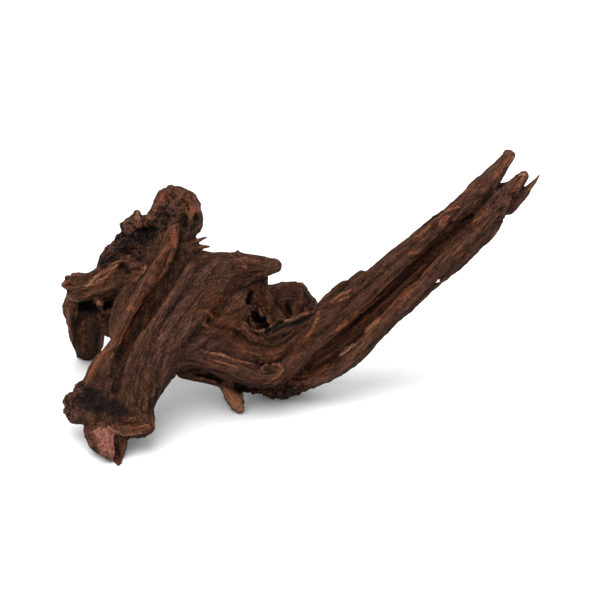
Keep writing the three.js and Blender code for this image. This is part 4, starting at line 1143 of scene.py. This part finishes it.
def wood_colour(n):
    """The bark with its rust, tan, fresh and black places, painted shade where it faces the ground, and the
    bark's tone.
    """
    wood, tone = bark_colour(n)
    rust_tone = n.between(n.sum_of(0.5, RUST_TONE), *RUST_TONE_RANGE)
    wood = n.mixed(rust_share(n), wood, n.mixed(rust_tone, RUST_DEEP, RUST))
    wood = n.mixed(n.ragged("tan", PAINT_RANGE, PAINT_EDGE), wood, n.mixed(rust_tone, RUST, TAN))
    wood = n.mixed(n.values["warm"], wood, WARM_TINT, "MULTIPLY")
    wood = n.mixed(n.ragged("fresh", FRESH_RANGE, FRESH_EDGE), wood, fresh_colour(n))
    burnt_and_shade_colour = n.mixed(n.between(n.sum_of(0.4, COAL_TONE), *COAL_RANGE), CHAR, CHAR_PALE)
    wood = n.mixed(burnt_and_shade_black_share(n), wood, burnt_and_shade_colour)
    # Painted shade: the wood darkens where its surface faces the ground
    return n.mixed(n.math("MULTIPLY", n.values["under"], UNDER_SHADE), wood, UNDERSIDE_SHADE), tone


def wood_material():
    """Dark weathered root wood: fibres along each strand, rust on the crests, black on burnt parts, painted
    shade in the hollows and on the undersides, painted highlight on the crests.
    """
    material = bpy.data.materials.new("weathered_wood")
    material.use_nodes = True
    n = WoodNodes(material)
    colour, tone = wood_colour(n)
    bump = n.add("ShaderNodeBump")
    n.fill(bump, {"Strength": BUMP_STRENGTH, "Distance": BUMP_HEIGHT, "Height": n.sum_of(0.5, HEIGHT)})
    roughness = n.between(tone, *TONE_RANGE, *ROUGHNESS_RANGE)
    n.fill(n.shader, {"Base Color": colour, "Roughness": roughness, "Specular IOR Level": SHINE})
    n.fill(n.shader, {"Normal": bump.outputs["Normal"]})
    return material


def add_to_scene(name, data):
    piece = bpy.data.objects.new(name, data)
    bpy.context.scene.collection.objects.link(piece)
    return piece


def dress_root():
    mesh = make_root()
    mesh.name = "root_wood"
    root = add_to_scene("root_wood", mesh)
    mesh.materials.clear()
    mesh.materials.append(wood_material())
    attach(root, "root")
    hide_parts("driftwood_root")


# The stage: lights as place, size and power, all turned to the root's middle
FLOOR_SIDE = 40.0
FLOOR_COLOUR = (0.86, 0.86, 0.86)
LIGHTS = {
    "key": ((-0.6, -0.5, 2.0), 2.2, 50),
    "fill": ((1.2, -1.8, 1.3), 2.0, 10),
    "back": ((0.2, 1.8, 1.6), 2.0, 18),
}
LIT_PLACE = (0, 0, 0.1)
SKY_STRENGTH = 0.85

# The camera: a long lens, square to the sheet, with the photograph's frame of 600 by 600 on the sheet
LENS = 400.0
PICTURE_SIDE = 600.0
PICTURE_DEPTH = -75.0


def make_floor():
    material = bpy.data.materials.new("pale_floor")
    material.use_nodes = True
    inputs = material.node_tree.nodes["Principled BSDF"].inputs
    inputs["Base Color"].default_value = (*FLOOR_COLOUR, 1)
    inputs["Roughness"].default_value = 0.9
    inputs["Specular IOR Level"].default_value = 0.1
    half = FLOOR_SIDE / 2
    corners = [(-half, -half, 0), (half, -half, 0), (half, half, 0), (-half, half, 0)]
    mesh = bpy.data.meshes.new("floor")
    mesh.from_pydata(corners, [], [(0, 1, 2, 3)])
    mesh.materials.append(material)
    add_to_scene("floor", mesh)


def turn(piece, direction):
    """Turns a light or a camera to look along a direction."""
    piece.rotation_mode = "QUATERNION"
    piece.rotation_quaternion = direction.to_track_quat("-Z", "Y")


def make_light(name, place, size, power):
    light = bpy.data.lights.new(name, "AREA")
    light.shape = "DISK"
    light.size = size
    light.energy = power
    lamp = add_to_scene(name, light)
    lamp.location = place
    turn(lamp, Vector(LIT_PLACE) - Vector(place))


def make_world():
    world = bpy.data.worlds.new("studio")
    world.use_nodes = True
    background = world.node_tree.nodes["Background"]
    background.inputs["Color"].default_value = (1, 1, 1, 1)
    background.inputs["Strength"].default_value = SKY_STRENGTH
    bpy.context.scene.world = world


def make_camera():
    data = bpy.data.cameras.new("camera")
    data.lens = LENS
    data.clip_end = 100
    camera = add_to_scene("camera", data)
    middle = Vector(to_ground(np.array([(PICTURE_SIDE / 2, PICTURE_SIDE / 2, PICTURE_DEPTH)]))[0])
    towards_eye = Vector((0, -math.cos(SHEET_LEAN), math.sin(SHEET_LEAN)))
    camera.location = middle + towards_eye * (PICTURE_SIDE * MM * LENS / data.sensor_width)
    turn(camera, -towards_eye)
    bpy.context.scene.camera = camera


dress_root()
make_floor()
for name, (place, size, power) in LIGHTS.items():
    make_light(name, place, size, power)
make_world()
bpy.context.scene.view_settings.view_transform = "Standard"
make_camera()
